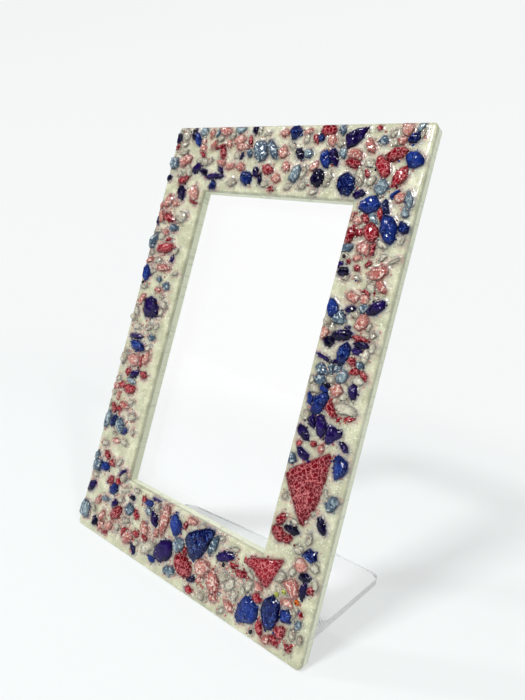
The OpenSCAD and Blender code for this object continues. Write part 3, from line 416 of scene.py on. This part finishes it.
# bonding strips: milky, smeared adhesive
stripLook = {"colour": (0.86, 0.88, 0.82), "smearShade": 0.93, "smearScale": 300, "smearDetail": 4,
             "smear": (0.3, 0.7), "rough": (0.3, 0.35), "bump": 0.2, "bumpDepth": 0.00005,
             "shine": {"IOR": 1.49, "Transmission Weight": 0.15}, "edge": 0.00012, "steps": 2}


def makeAdhesive():
    material, tree, shader = newMaterial("clearAdhesive")
    smear = noiseAt(tree, placeOf(tree), stripLook["smearScale"], stripLook["smearDetail"])["Fac"]
    smeared = tuple(part * stripLook["smearShade"] for part in stripLook["colour"])
    body = mixColour(tree, ramp(tree, smear, *stripLook["smear"]), stripLook["colour"], smeared)
    connect(tree, shader.inputs["Base Color"], body)
    connect(tree, shader.inputs["Roughness"], spread(tree, smear, *stripLook["rough"]))
    addBump(tree, shader, smear, stripLook["bump"], stripLook["bumpDepth"])
    setInputs(tree, shader, stripLook["shine"])
    return material


# sawn edge of the plate, with saw marks across it
frostedLook = {"pale": (0.76, 0.78, 0.6), "mark": (0.63, 0.65, 0.5), "drawnOut": (0.25, 0.12, 1.0),
               "scale": 1100, "detail": 3, "marks": (0.56, 0.64), "bump": 0.5, "bumpDepth": 0.0001,
               "rough": 0.4}


def makeFrosted():
    material, tree, shader = newMaterial("frostedEdge")
    drawn = vectorOf(tree, "MULTIPLY", placeOf(tree), frostedLook["drawnOut"])
    marks = noiseAt(tree, drawn, frostedLook["scale"], frostedLook["detail"])["Fac"]
    body = mixColour(tree, ramp(tree, marks, *frostedLook["marks"]), frostedLook["pale"],
                     frostedLook["mark"])
    connect(tree, shader.inputs["Base Color"], body)
    addBump(tree, shader, marks, frostedLook["bump"], frostedLook["bumpDepth"])
    shader.inputs["Roughness"].default_value = frostedLook["rough"]
    return material


# clear sheets: light passes through them, so they throw hardly any shadow
sheetLooks = {"clearAcrylic": {"tint": (0.99, 0.997, 0.995), "paler": (1.0, 1.0, 1.0),
                               "shine": {"Roughness": 0.0, "IOR": 1.25}},
              "clearPlate": {"tint": (0.9, 0.94, 0.86), "paler": (0.95, 0.97, 0.9),
                             "shine": {"Roughness": 0.04, "IOR": 1.49}}}
hazeScale = 40


def makeClearSheet(name):
    look = sheetLooks[name]
    material, tree, shader = newMaterial(name)
    haze = noiseAt(tree, placeOf(tree), hazeScale)["Fac"]
    connect(tree, shader.inputs["Base Color"], mixColour(tree, haze, look["tint"], look["paler"]))
    setInputs(tree, shader, look["shine"])
    shader.inputs["Transmission Weight"].default_value = 1.0
    path = addNode(tree, "LightPath").outputs
    passing = mathOf(tree, "MAXIMUM", path["Is Shadow Ray"], path["Is Diffuse Ray"])
    through = addNode(tree, "BsdfTransparent")
    mixSurface(tree, passing, shader.outputs["BSDF"], through.outputs["BSDF"])
    return material


resinMaterial = makeResin()
acrylicMaterial = makeClearSheet("clearAcrylic")
plateMaterial = makeClearSheet("clearPlate")
frostedMaterial = makeFrosted()
stripMaterial = makeAdhesive()
print("materials made")

# the stand, the plate and the strips between them
standForm = {"edge": 0.0003, "steps": 3}
stand = copyOfNode("acrylic_stand")
roundEdges(stand, standForm["edge"], standForm["steps"])
shadeSmooth(stand, meshForm["smooth"])
finishPiece(stand, ["acrylic_stand"], acrylicMaterial)

plateForm = {"edge": 0.00025, "steps": 2, "facing": 0.9}
plate = copyOfNode("glass_plate")
roundEdges(plate, plateForm["edge"], plateForm["steps"])
shadeSmooth(plate, meshForm["smooth"])
finishPiece(plate, ["glass_plate"], plateMaterial)
plate.data.materials.append(frostedMaterial)
panelFacing = toFrame.to_3x3() @ Vector((0, 0, 1))
# the flat faces are clear, and the sawn edges frosted
for face in plate.data.polygons:
    face.material_index = 0 if abs(face.normal.dot(panelFacing)) > plateForm["facing"] else 1

for stripNode in ("side_bonding_strips", "cross_bonding_strips"):
    strips = copyOfNode(stripNode)
    roundEdges(strips, stripLook["edge"], stripLook["steps"])
    finishPiece(strips, [stripNode], stripMaterial)
print("stand and plate made")

# glass chips, shards and beads
chipForm = {"levels": 2, "crease": (0.6, 0.92), "dent": 0.0003, "dentSize": 0.0016, "swell": 0.00045,
            "swellSize": 0.0021, "level": 0.55, "grow": 0.0002, "onAxis": 0.0001, "bare": 0.0003,
            "footDepth": 0.00002, "outlineStep": 0.00025, "leastFree": 0.3, "flatAngle": 50,
            "squareAngle": 60}
shardForm = {"levels": 3, "crease": (0.6, 0.9)}
beadForm = {"smooth": 40, "riseStart": 0.3}
dentTexture = bpy.data.textures.new("chipDents", "VORONOI")
dentTexture.noise_scale = chipForm["dentSize"]
swellTexture = bpy.data.textures.new("chipSwells", "CLOUDS")
swellTexture.noise_scale = chipForm["swellSize"]
swellTexture.noise_depth = 0
randomStart = 11
rng = random.Random(randomStart)
outlinePlaces = []       # points round every chip: (x, v, rise, glass name, chip number)
chipRings = []           # the outline of every chip, by chip number


# lists of the vertices that hang together
def islandsOf(mesh):
    parent = list(range(len(mesh.vertices)))

    def root(i):
        while parent[i] != i:
            parent[i] = parent[parent[i]]
            i = parent[i]
        return i

    for edge in mesh.edges:
        a, b = root(edge.vertices[0]), root(edge.vertices[1])
        if a != b:
            parent[b] = a
    groups = {}
    for i in range(len(mesh.vertices)):
        groups.setdefault(root(i), []).append(i)
    return list(groups.values())


# keeps each chip's outline, and returns tone, rise and whether it is at the foot, by vertex
def readChips(mesh, islands, glassName):
    tone = np.zeros(len(mesh.vertices))
    rise = np.zeros(len(mesh.vertices))
    atFoot = np.zeros(len(mesh.vertices), bool)
    for island in islands:
        spots = [toPanel @ mesh.vertices[i].co for i in island]
        foot = min(p.z for p in spots) + chipForm["footDepth"]
        top = max(p.z for p in spots)
        ownTone = rng.random()
        for i, p in zip(island, spots):
            tone[i] = ownTone
            rise[i] = max(0.0, (p.z - bedTop) / (top - bedTop))
            atFoot[i] = p.z < foot
        ring = [Vector((p.x, p.y)) for p in spots if p.z < foot]
        centre = sum(ring, Vector((0, 0))) / len(ring)
        ring.sort(key=lambda p: math.atan2(p.y - centre.y, p.x - centre.x))
        for a, b in zip(ring, ring[1:] + ring[:1]):
            steps = max(1, round((b - a).length / chipForm["outlineStep"]))
            for k in range(steps):
                p = a.lerp(b, k / steps)
                outlinePlaces.append((p.x, p.y, top - bedTop, glassName, len(chipRings)))
        chipRings.append(ring)
    return tone, rise, atFoot


# chips fill their sockets up to the seams
def growChips(mesh, islands, rise):
    bare = chipForm["bare"]
    for island in islands:
        spots = {i: toPanel @ mesh.vertices[i].co for i in island}
        middle = sum(spots.values(), Vector()) / len(spots)
        for i, p in spots.items():
            if rise[i] <= 0:
                continue
            out = Vector((p.x - middle.x, p.y - middle.y, 0))
            if out.length > chipForm["onAxis"]:
                p = p + out.normalized() * chipForm["grow"]
            p.x = max(-halfWide + bare, min(halfWide - bare, p.x))
            p.y = max(bare, min(high - bare, p.y))
            mesh.vertices[i].co = toFrame @ p


def makeChips(nodeName, glassName, form):
    piece = copyOfNode(nodeName)
    mesh = piece.data
    islands = islandsOf(mesh)
    tone, rise, atFoot = readChips(mesh, islands, glassName)
    keepValues(mesh, "tone", tone)
    # rise also drives the painted shade at the chips' low rims
    keepValues(mesh, "rise", rise)
    growChips(mesh, islands, rise)
    editAll(piece, bpy.ops.mesh.tris_convert_to_quads, face_threshold=math.radians(chipForm["flatAngle"]),
            shape_threshold=math.radians(chipForm["squareAngle"]))
    creases = []
    for edge in mesh.edges:
        a, b = edge.vertices
        creases.append(1.0 if atFoot[a] and atFoot[b] else rng.uniform(*form["crease"]))
    crease = mesh.attributes.new("crease_edge", "FLOAT", "EDGE")
    crease.data.foreach_set("value", creases)
    free = piece.vertex_groups.new(name="free")
    for i, share in enumerate(rise):
        if share > 0:
            free.add([i], min(1.0, chipForm["leastFree"] + share), "REPLACE")
    rounded = piece.modifiers.new("rounded", "SUBSURF")
    rounded.levels = form["levels"]
    rounded.render_levels = form["levels"]
    for label, texture in (("swell", swellTexture), ("dent", dentTexture)):
        relief = piece.modifiers.new(label, "DISPLACE")
        relief.texture = texture
        relief.texture_coords = "LOCAL"
        relief.strength = chipForm[label]
        relief.mid_level = chipForm["level"]
        relief.vertex_group = "free"
    applyAll(piece)
    shadeSmooth(piece, meshForm["smooth"])
    finishPiece(piece, [nodeName], glass[glassName])


chipGlasses = ("cobalt", "steel", "navy", "ruby", "rose", "clear")
for nodeName in sorted(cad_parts):
    if nodeName.endswith("_chips"):
        glassName = [word for word in chipGlasses if word in nodeName][0]
        makeChips(nodeName, glassName, chipForm)
shardNodes = {"cobalt_slab": "cobalt", "cobalt_block": "cobalt", "cobalt_boulder": "cobalt",
              "cobalt_shield": "cobalt", "cobalt_teardrop": "cobalt", "navy_wedge": "navy",
              "navy_boulder": "navy", "violet_triangle": "navy", "ruby_shard": "ruby",
              "ruby_triangle": "ruby"}
for nodeName, glassName in shardNodes.items():
    makeChips(nodeName, glassName, shardForm)
print("chips made,", len(chipRings), "pieces,", len(outlinePlaces), "outline places")

beadNodes = {"crystal_beads": "clear", "ruby_beads": "ruby", "black_beads": "black",
             "lime_beads": "lime", "amber_bead": "amber"}
for nodeName, glassName in beadNodes.items():
    beads = copyOfNode(nodeName)
    tone, rise, _ = readChips(beads.data, islandsOf(beads.data), glassName)
    keepValues(beads.data, "tone", tone)
    # beads start part way up the rise, so the painted shade at their foot is a little lighter
    keepValues(beads.data, "rise", beadForm["riseStart"] + (1 - beadForm["riseStart"]) * rise)
    shadeSmooth(beads, beadForm["smooth"])
    finishPiece(beads, [nodeName], glass[glassName])
print("beads made")

# the poured resin
resinForm = {"cell": 0.0005, "edgeZone": 0.002, "crowding": 1.6, "edgeRound": 0.0007, "corner": 0.0015,
             "underLift": 0.0003, "underGap": 0.00002, "creep": 0.34, "creepMost": 0.0006,
             "nearShare": 0.7, "reach": 0.00045, "farShare": 0.3, "farReach": 0.0014,
             "swell": 0.00013, "swellSize": 0.007, "swellLayer": 0.3, "ripple": 0.00005,
             "rippleSize": 0.0016, "rippleLayer": 0.7, "smooth": 50}
# painted shade round the chips: the resin takes the nearest glass's dark colour, fading with distance
glassShadeForm = {"near": 0.86, "start": 0.00015, "reach": 0.0004, "far": 0.13, "farReach": 0.0014}
crushedForm = {"start": 0.0011, "reach": 0.0005, "cleaner": 0.5}
# dark colours for the painted shade and painted coloured light round each glass
glassShadeColours = {"cobalt": (0.015, 0.02, 0.11), "steel": (0.03, 0.04, 0.08), "navy": (0.03, 0.015, 0.11),
              "ruby": (0.14, 0.02, 0.025), "rose": (0.22, 0.06, 0.05), "clear": (0.1, 0.09, 0.08),
              "black": (0.2, 0.2, 0.2), "lime": (0.35, 0.36, 0.2), "amber": (0.5, 0.28, 0.15)}
outlineTree = kdtree.KDTree(len(outlinePlaces))
for i, (x, v, *_) in enumerate(outlinePlaces):
    outlineTree.insert((x, v, 0), i)
outlineTree.balance()


def waveAt(x, v, name):
    place = Vector((x, v, resinForm[name + "Layer"]))
    return noise.noise(place / resinForm[name + "Size"]) * resinForm[name]


# height above the bed, with the nearest outline place and its distance
def resinHeight(x, v):
    _, i, gap = outlineTree.find((x, v, 0))
    creep = min(outlinePlaces[i][2] * resinForm["creep"], resinForm["creepMost"])
    lift = creep * (resinForm["nearShare"] * math.exp(-gap / resinForm["reach"])
                    + resinForm["farShare"] * math.exp(-gap / resinForm["farReach"]))
    return lift + waveAt(x, v, "swell") + waveAt(x, v, "ripple"), i, gap


# 1 up to the start, and fading beyond it
def fade(gap, form):
    return math.exp(-max(0.0, gap - form["start"]) / form["reach"])


# the same distance drawn towards the edge
def nearer(distance):
    zone = resinForm["edgeZone"]
    return zone * (max(0.0, distance) / zone) ** resinForm["crowding"]


# finer cells by the edges
def crowdCells(x, v):
    zone = resinForm["edgeZone"]
    side = 1 if x >= 0 else -1
    if halfWide - abs(x) < zone:
        x = side * (halfWide - nearer(halfWide - abs(x)))
    elif 0 <= abs(x) - windowX < zone:
        x = side * (windowX + nearer(abs(x) - windowX))
    if v < zone:
        v = nearer(v)
    elif high - v < zone:
        v = high - nearer(high - v)
    elif 0 <= windowLow - v < zone:
        v = windowLow - nearer(windowLow - v)
    elif 0 <= v - windowHigh < zone:
        v = windowHigh + nearer(v - windowHigh)
    return x, v


# rounds the outer corners, and returns the place with its edge gaps
def roundCorners(x, v):
    radius = resinForm["corner"]
    pastX = abs(x) - (halfWide - radius)
    pastV = max(radius - v, v - (high - radius))
    if pastX <= 0 or pastV <= 0:
        return x, v, *edgeGaps(x, v)
    share = max(pastX, pastV) / math.hypot(pastX, pastV)
    x = (1 if x >= 0 else -1) * (halfWide - radius + pastX * share)
    v = radius - pastV * share if v < radius else high - radius + pastV * share
    return x, v, radius - math.hypot(pastX * share, pastV * share), edgeGaps(x, v)[1]


bpy.ops.object.select_all(action="DESELECT")
bpy.ops.mesh.primitive_grid_add(x_subdivisions=round(panel["wide"] / resinForm["cell"]),
                                y_subdivisions=round(high / resinForm["cell"]), size=1)
resin = bpy.context.object
resin.name = "resinBed"
resin.scale = (panel["wide"], high, 1)
resin.location = (0, high / 2, 0)
bpy.ops.object.transform_apply(location=True, rotation=False, scale=True)
selectNothing(resin, "FACE")
for face in resin.data.polygons:
    face.select = abs(face.center.x) < windowX and windowLow < face.center.y < windowHigh
bpy.ops.object.mode_set(mode="EDIT")
bpy.ops.mesh.delete(type="FACE")
bpy.ops.mesh.select_mode(type="EDGE")
bpy.ops.mesh.select_all(action="SELECT")
bpy.ops.mesh.region_to_loop()
bpy.ops.mesh.extrude_edges_move(TRANSFORM_OT_translate={"value": (0, 0, -panel["resin"])})
bpy.ops.mesh.bridge_edge_loops()
bpy.ops.object.mode_set(mode="OBJECT")

mesh = resin.data
glassShadeTints = np.zeros((len(mesh.vertices), 4), np.float32)
crushed = np.zeros(len(mesh.vertices), np.float32)
edgeRound = resinForm["edgeRound"]
for vertex in mesh.vertices:
    x, v, z = vertex.co
    x, v, outer, inner = roundCorners(*crowdCells(x, v))
    edge = max(0.0, min(outer, inner))
    if z > -panel["resin"] / 2:
        lift, i, gap = resinHeight(x, v)
        if edge < edgeRound:
            share = 1 - edge / edgeRound
            lift = lift * (1 - share) - edgeRound * (1 - math.sqrt(max(0, 1 - share * share)))
        z = bedTop + lift
        # painted shade and painted coloured light of the nearest glass, strongest close to the chip
        strength = (glassShadeForm["near"] * fade(gap, glassShadeForm)
                    + glassShadeForm["far"] * math.exp(-gap / glassShadeForm["farReach"]))
        glassShadeTints[vertex.index] = (*glassShadeColours[outlinePlaces[i][3]], strength)
        crushed[vertex.index] = (crushedForm["cleaner"] if isCleaner(x, v) else 1.0) * fade(gap, crushedForm)
    else:
        z = panel["plate"] + resinForm["underGap"] + resinForm["underLift"] * min(1.0, edge / edgeRound)
    vertex.co = (x, v, z)
glassShadeLayer = mesh.attributes.new("tint", "FLOAT_COLOR", "POINT")
glassShadeLayer.data.foreach_set("color", glassShadeTints.ravel())
keepValues(mesh, "crushed", crushed)
mesh.transform(toFrame)
editAll(resin, bpy.ops.mesh.normals_make_consistent, inside=False)
shadeSmooth(resin, resinForm["smooth"])
finishPiece(resin, ["resin_bed"], resinMaterial)
print("resin poured,", len(mesh.polygons), "faces")

# fine grit between the chips
gritForm = {"shapes": 4, "rough": (0.65, 1.15), "depth": (0.55, 0.9), "height": (0.4, 0.6),
            "riseStart": 0.45, "fine": 3000, "middling": 4200, "fineSize": (0.00016, 0.0004),
            "middlingSize": (0.00036, 0.0008), "spread": 0.0012, "near": 0.0007, "farthest": 0.0019,
            "rim": 0.0012, "leftOut": 0.4, "turn": 6.28, "tilt": 0.4, "sink": 0.05, "batch": 60,
            "smooth": 35}
gritShares = {"rose": 0.36, "ruby": 0.1, "clear": 0.4, "cobalt": 0.04, "steel": 0.06, "navy": 0.04}
kindShares = {"farRose": 0.5, "farRoseCleaner": 0.55, "own": 0.6, "clear": 0.85}


def makeSeed():
    bpy.ops.object.select_all(action="DESELECT")
    bpy.ops.mesh.primitive_ico_sphere_add(subdivisions=1, radius=1)
    seed = bpy.context.object
    for vertex in seed.data.vertices:
        vertex.co *= rng.uniform(*gritForm["rough"])
    seed.scale = (1, rng.uniform(*gritForm["depth"]), rng.uniform(*gritForm["height"]))
    bpy.ops.object.transform_apply(location=False, rotation=False, scale=True)
    heights = [vertex.co.z for vertex in seed.data.vertices]
    tallest = max(heights)
    start = gritForm["riseStart"]
    # grains start part way up the rise, so the painted shade at their foot is a little lighter
    keepValues(seed.data, "rise", [start + (1 - start) * max(0.0, z / tallest) for z in heights])
    return seed


def onBorder(x, v):
    return min(edgeGaps(x, v)) > gritForm["rim"]


def onChip(x, v, number):
    ring = chipRings[number]
    return all((b.x - a.x) * (v - a.y) - (b.y - a.y) * (x - a.x) > 0
               for a, b in zip(ring, ring[1:] + ring[:1]))


# grains near a chip take its glass, and those far out are rose or clear
def grainGlass(x, v, gap, ownGlass):
    draw = rng.random()
    if isCleaner(x, v) and draw < gritForm["leftOut"]:
        return None
    if gap > gritForm["near"]:
        return "rose" if draw < kindShares["farRoseCleaner" if isCleaner(x, v) else "farRose"] else "clear"
    if draw < kindShares["own"]:
        return ownGlass if ownGlass in gritShares else "clear"
    if draw < kindShares["clear"]:
        return "clear"
    return rng.choices(list(gritShares), list(gritShares.values()))[0]


def scatterGrains(places):
    batches = []
    for i in range(0, len(places), gritForm["batch"]):
        grains = []
        for seed, spot, tone in places[i:i + gritForm["batch"]]:
            grain = bpy.data.objects.new("grain", seed.data.copy())
            grain.data.transform(spot)
            keepValues(grain.data, "tone", [tone] * len(grain.data.vertices))
            bpy.context.scene.collection.objects.link(grain)
            grains.append(grain)
        pickOnly(*grains)
        bpy.ops.object.join()
        batches.append(bpy.context.object)
    pickOnly(*batches)
    bpy.ops.object.join()
    return bpy.context.object


seeds = [makeSeed() for _ in range(gritForm["shapes"])]
gritPlaces = {name: [] for name in gritShares}
placed = 0
while placed < gritForm["fine"] + gritForm["middling"]:
    x, v, _, ownGlass, _ = outlinePlaces[rng.randrange(len(outlinePlaces))]
    way = rng.uniform(0, 2 * math.pi)
    far = abs(rng.gauss(0, gritForm["spread"]))
    x, v = x + far * math.cos(way), v + far * math.sin(way)
    lift, nearest, gap = resinHeight(x, v)
    if not onBorder(x, v) or onChip(x, v, outlinePlaces[nearest][4]) or gap > gritForm["farthest"]:
        continue
    name = grainGlass(x, v, gap, ownGlass)
    if name is None:
        continue
    size = rng.uniform(*gritForm["fineSize" if placed < gritForm["fine"] else "middlingSize"])
    turn = Matrix.Rotation(rng.uniform(0, gritForm["turn"]), 4, "Z")
    tilt = Matrix.Rotation(rng.uniform(-gritForm["tilt"], gritForm["tilt"]), 4, "X")
    middle = Matrix.Translation((x, v, bedTop + lift - size * gritForm["sink"]))
    spot = toFrame @ middle @ (turn @ tilt) @ Matrix.Scale(size, 4)
    gritPlaces[name].append((rng.choice(seeds), spot, rng.random()))
    placed += 1
for name, places in gritPlaces.items():
    grit = scatterGrains(places)
    grit.name = name + "Grit"
    shadeSmooth(grit, gritForm["smooth"])
    grit.data.materials.clear()
    grit.data.materials.append(glass[name])
    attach(grit, "root")
for seed in seeds:
    bpy.data.objects.remove(seed)
print("grit scattered,", placed, "grains")

# floor: lit and glowing by the frame, and glowing alone further off
stageLook = {"near": -0.9, "far": 1.3, "turn": 0.7, "turnSteps": 24, "tall": 2.5, "wide": 9.0,
             "middle": (0.92, 0.945, 0.94), "high": (0.865, 0.865, 0.86), "blend": (0.1, 1.6),
             "white": (1, 1, 1), "fade": (0.1, 0.65), "glowNear": 0.6}
floorShine = {"Base Color": (0.75, 0.785, 0.785), "Roughness": 0.8, "Specular IOR Level": 0.1}


def makeFloor():
    material, tree, shader = newMaterial("paleSweep")
    setInputs(tree, shader, floorShine)
    place = placeOf(tree)
    height = addNode(tree, "SeparateXYZ", {"Vector": place}).outputs["Z"]
    path = addNode(tree, "LightPath").outputs
    backdrop = mixColour(tree, ramp(tree, height, *stageLook["blend"]), stageLook["middle"],
                         stageLook["high"])
    glowColour = mixColour(tree, path["Is Transmission Ray"], backdrop, stageLook["white"])
    glow = addNode(tree, "Emission", {"Color": glowColour})
    away = ramp(tree, vectorOf(tree, "LENGTH", place), *stageLook["fade"])
    seen = mathOf(tree, "MAXIMUM", path["Is Camera Ray"], path["Is Transmission Ray"])
    share = mathOf(tree, "MULTIPLY", spread(tree, away, stageLook["glowNear"], 1), seen)
    mixSurface(tree, share, shader.outputs["BSDF"], glow.outputs["Emission"])
    return material


bpy.ops.object.select_all(action="DESELECT")
bpy.ops.mesh.primitive_plane_add(size=1)
sweep = bpy.context.object
sweep.name = "paleSweep"
sweep.scale = (stageLook["wide"], stageLook["far"] - stageLook["near"], 1)
sweep.location = (0, (stageLook["far"] + stageLook["near"]) / 2, 0)
bpy.ops.object.transform_apply(location=True, rotation=False, scale=True)
selectNothing(sweep, "EDGE")
for edge in sweep.data.edges:
    edge.select = all(sweep.data.vertices[i].co.y > 0 for i in edge.vertices)
bpy.ops.object.mode_set(mode="EDIT")
bpy.ops.mesh.spin(steps=stageLook["turnSteps"], angle=math.pi / 2, axis=(1, 0, 0),
                  center=(0, stageLook["far"], stageLook["turn"]))
bpy.ops.mesh.extrude_region_move(TRANSFORM_OT_translate={"value": (0, 0, stageLook["tall"])})
bpy.ops.object.mode_set(mode="OBJECT")
bpy.ops.object.shade_smooth()
sweep.data.materials.append(makeFloor())

# room: pale where it is seen, darker where it only lights and mirrors, so that dark glass stays dark
roomLook = {"colour": (0.975, 1, 0.995), "seen": 0.945, "low": 0.08, "overhead": 0.4,
            "climb": (0.15, 0.9)}
world = bpy.data.worlds.new("paleRoom")
bpy.context.scene.world = world
world.use_nodes = True
room = world.node_tree
way = addNode(room, "TexCoord").outputs["Generated"]
climb = ramp(room, addNode(room, "SeparateXYZ", {"Vector": way}).outputs["Z"], *roomLook["climb"])
path = addNode(room, "LightPath").outputs
seen = mathOf(room, "MAXIMUM", path["Is Camera Ray"], path["Is Transmission Ray"])
lighting = spread(room, climb, roomLook["low"], roomLook["overhead"])
strength = mixValue(room, seen, lighting, roomLook["seen"])
setInputs(room, room.nodes["Background"], {"Color": roomLook["colour"], "Strength": strength})

# lamps: a key from the front, and two smaller ones for glints
lamps = {"keyLight": {"place": (-0.2, -1.5, 1.05), "wide": 0.28, "high": 0.28, "power": 23.5},
         "sideLight": {"place": (1.3, -0.75, 1.1), "wide": 0.16, "high": 0.22, "power": 8.0},
         "leftLight": {"place": (-1.2, -0.9, 1.2), "wide": 0.17, "high": 0.17, "power": 6.5}}
lampAim = Vector((0, 0, 0.08))
for name, form in lamps.items():
    lamp = bpy.data.lights.new(name, "AREA")
    lamp.shape = "RECTANGLE"
    lamp.size = form["wide"]
    lamp.size_y = form["high"]
    lamp.energy = form["power"]
    lampObject = bpy.data.objects.new(name, lamp)
    bpy.context.scene.collection.objects.link(lampObject)
    lampObject.location = form["place"]
    lampObject.rotation_euler = (lampAim - Vector(form["place"])).to_track_quat("-Z", "Y").to_euler()

# camera, fitted to the photo of 525 x 700 pixels
view = {"place": (0.1164, -0.17597, 0.11024), "azimuth": -33.8, "elevation": 3.5, "roll": 11.6,
        "focalPixels": 517.0, "centreX": 276.0, "centreY": 329.3, "imageWide": 525, "imageHigh": 700,
        "sensor": 36, "nearest": 0.005}
azimuth, elevation, roll = (math.radians(view[key]) for key in ("azimuth", "elevation", "roll"))
ahead = Vector((math.sin(azimuth) * math.cos(elevation), math.cos(azimuth) * math.cos(elevation),
                -math.sin(elevation)))
level = Vector((math.cos(azimuth), -math.sin(azimuth), 0))
upward = level.cross(ahead)
right = level * math.cos(roll) + upward * math.sin(roll)
up = upward * math.cos(roll) - level * math.sin(roll)
cameraData = bpy.data.cameras.new("camera")
camera = bpy.data.objects.new("camera", cameraData)
bpy.context.scene.collection.objects.link(camera)
turn = Matrix((right, up, -ahead)).transposed().to_4x4()
camera.matrix_world = Matrix.Translation(view["place"]) @ turn
cameraData.sensor_width = view["sensor"]
cameraData.lens = view["sensor"] * view["focalPixels"] / view["imageHigh"]
cameraData.shift_x = (view["imageWide"] / 2 - view["centreX"]) / view["imageHigh"]
cameraData.shift_y = (view["centreY"] - view["imageHigh"] / 2) / view["imageHigh"]
cameraData.clip_start = view["nearest"]
bpy.context.scene.camera = camera
bpy.context.scene.view_settings.view_transform = "Standard"
print("stage set")
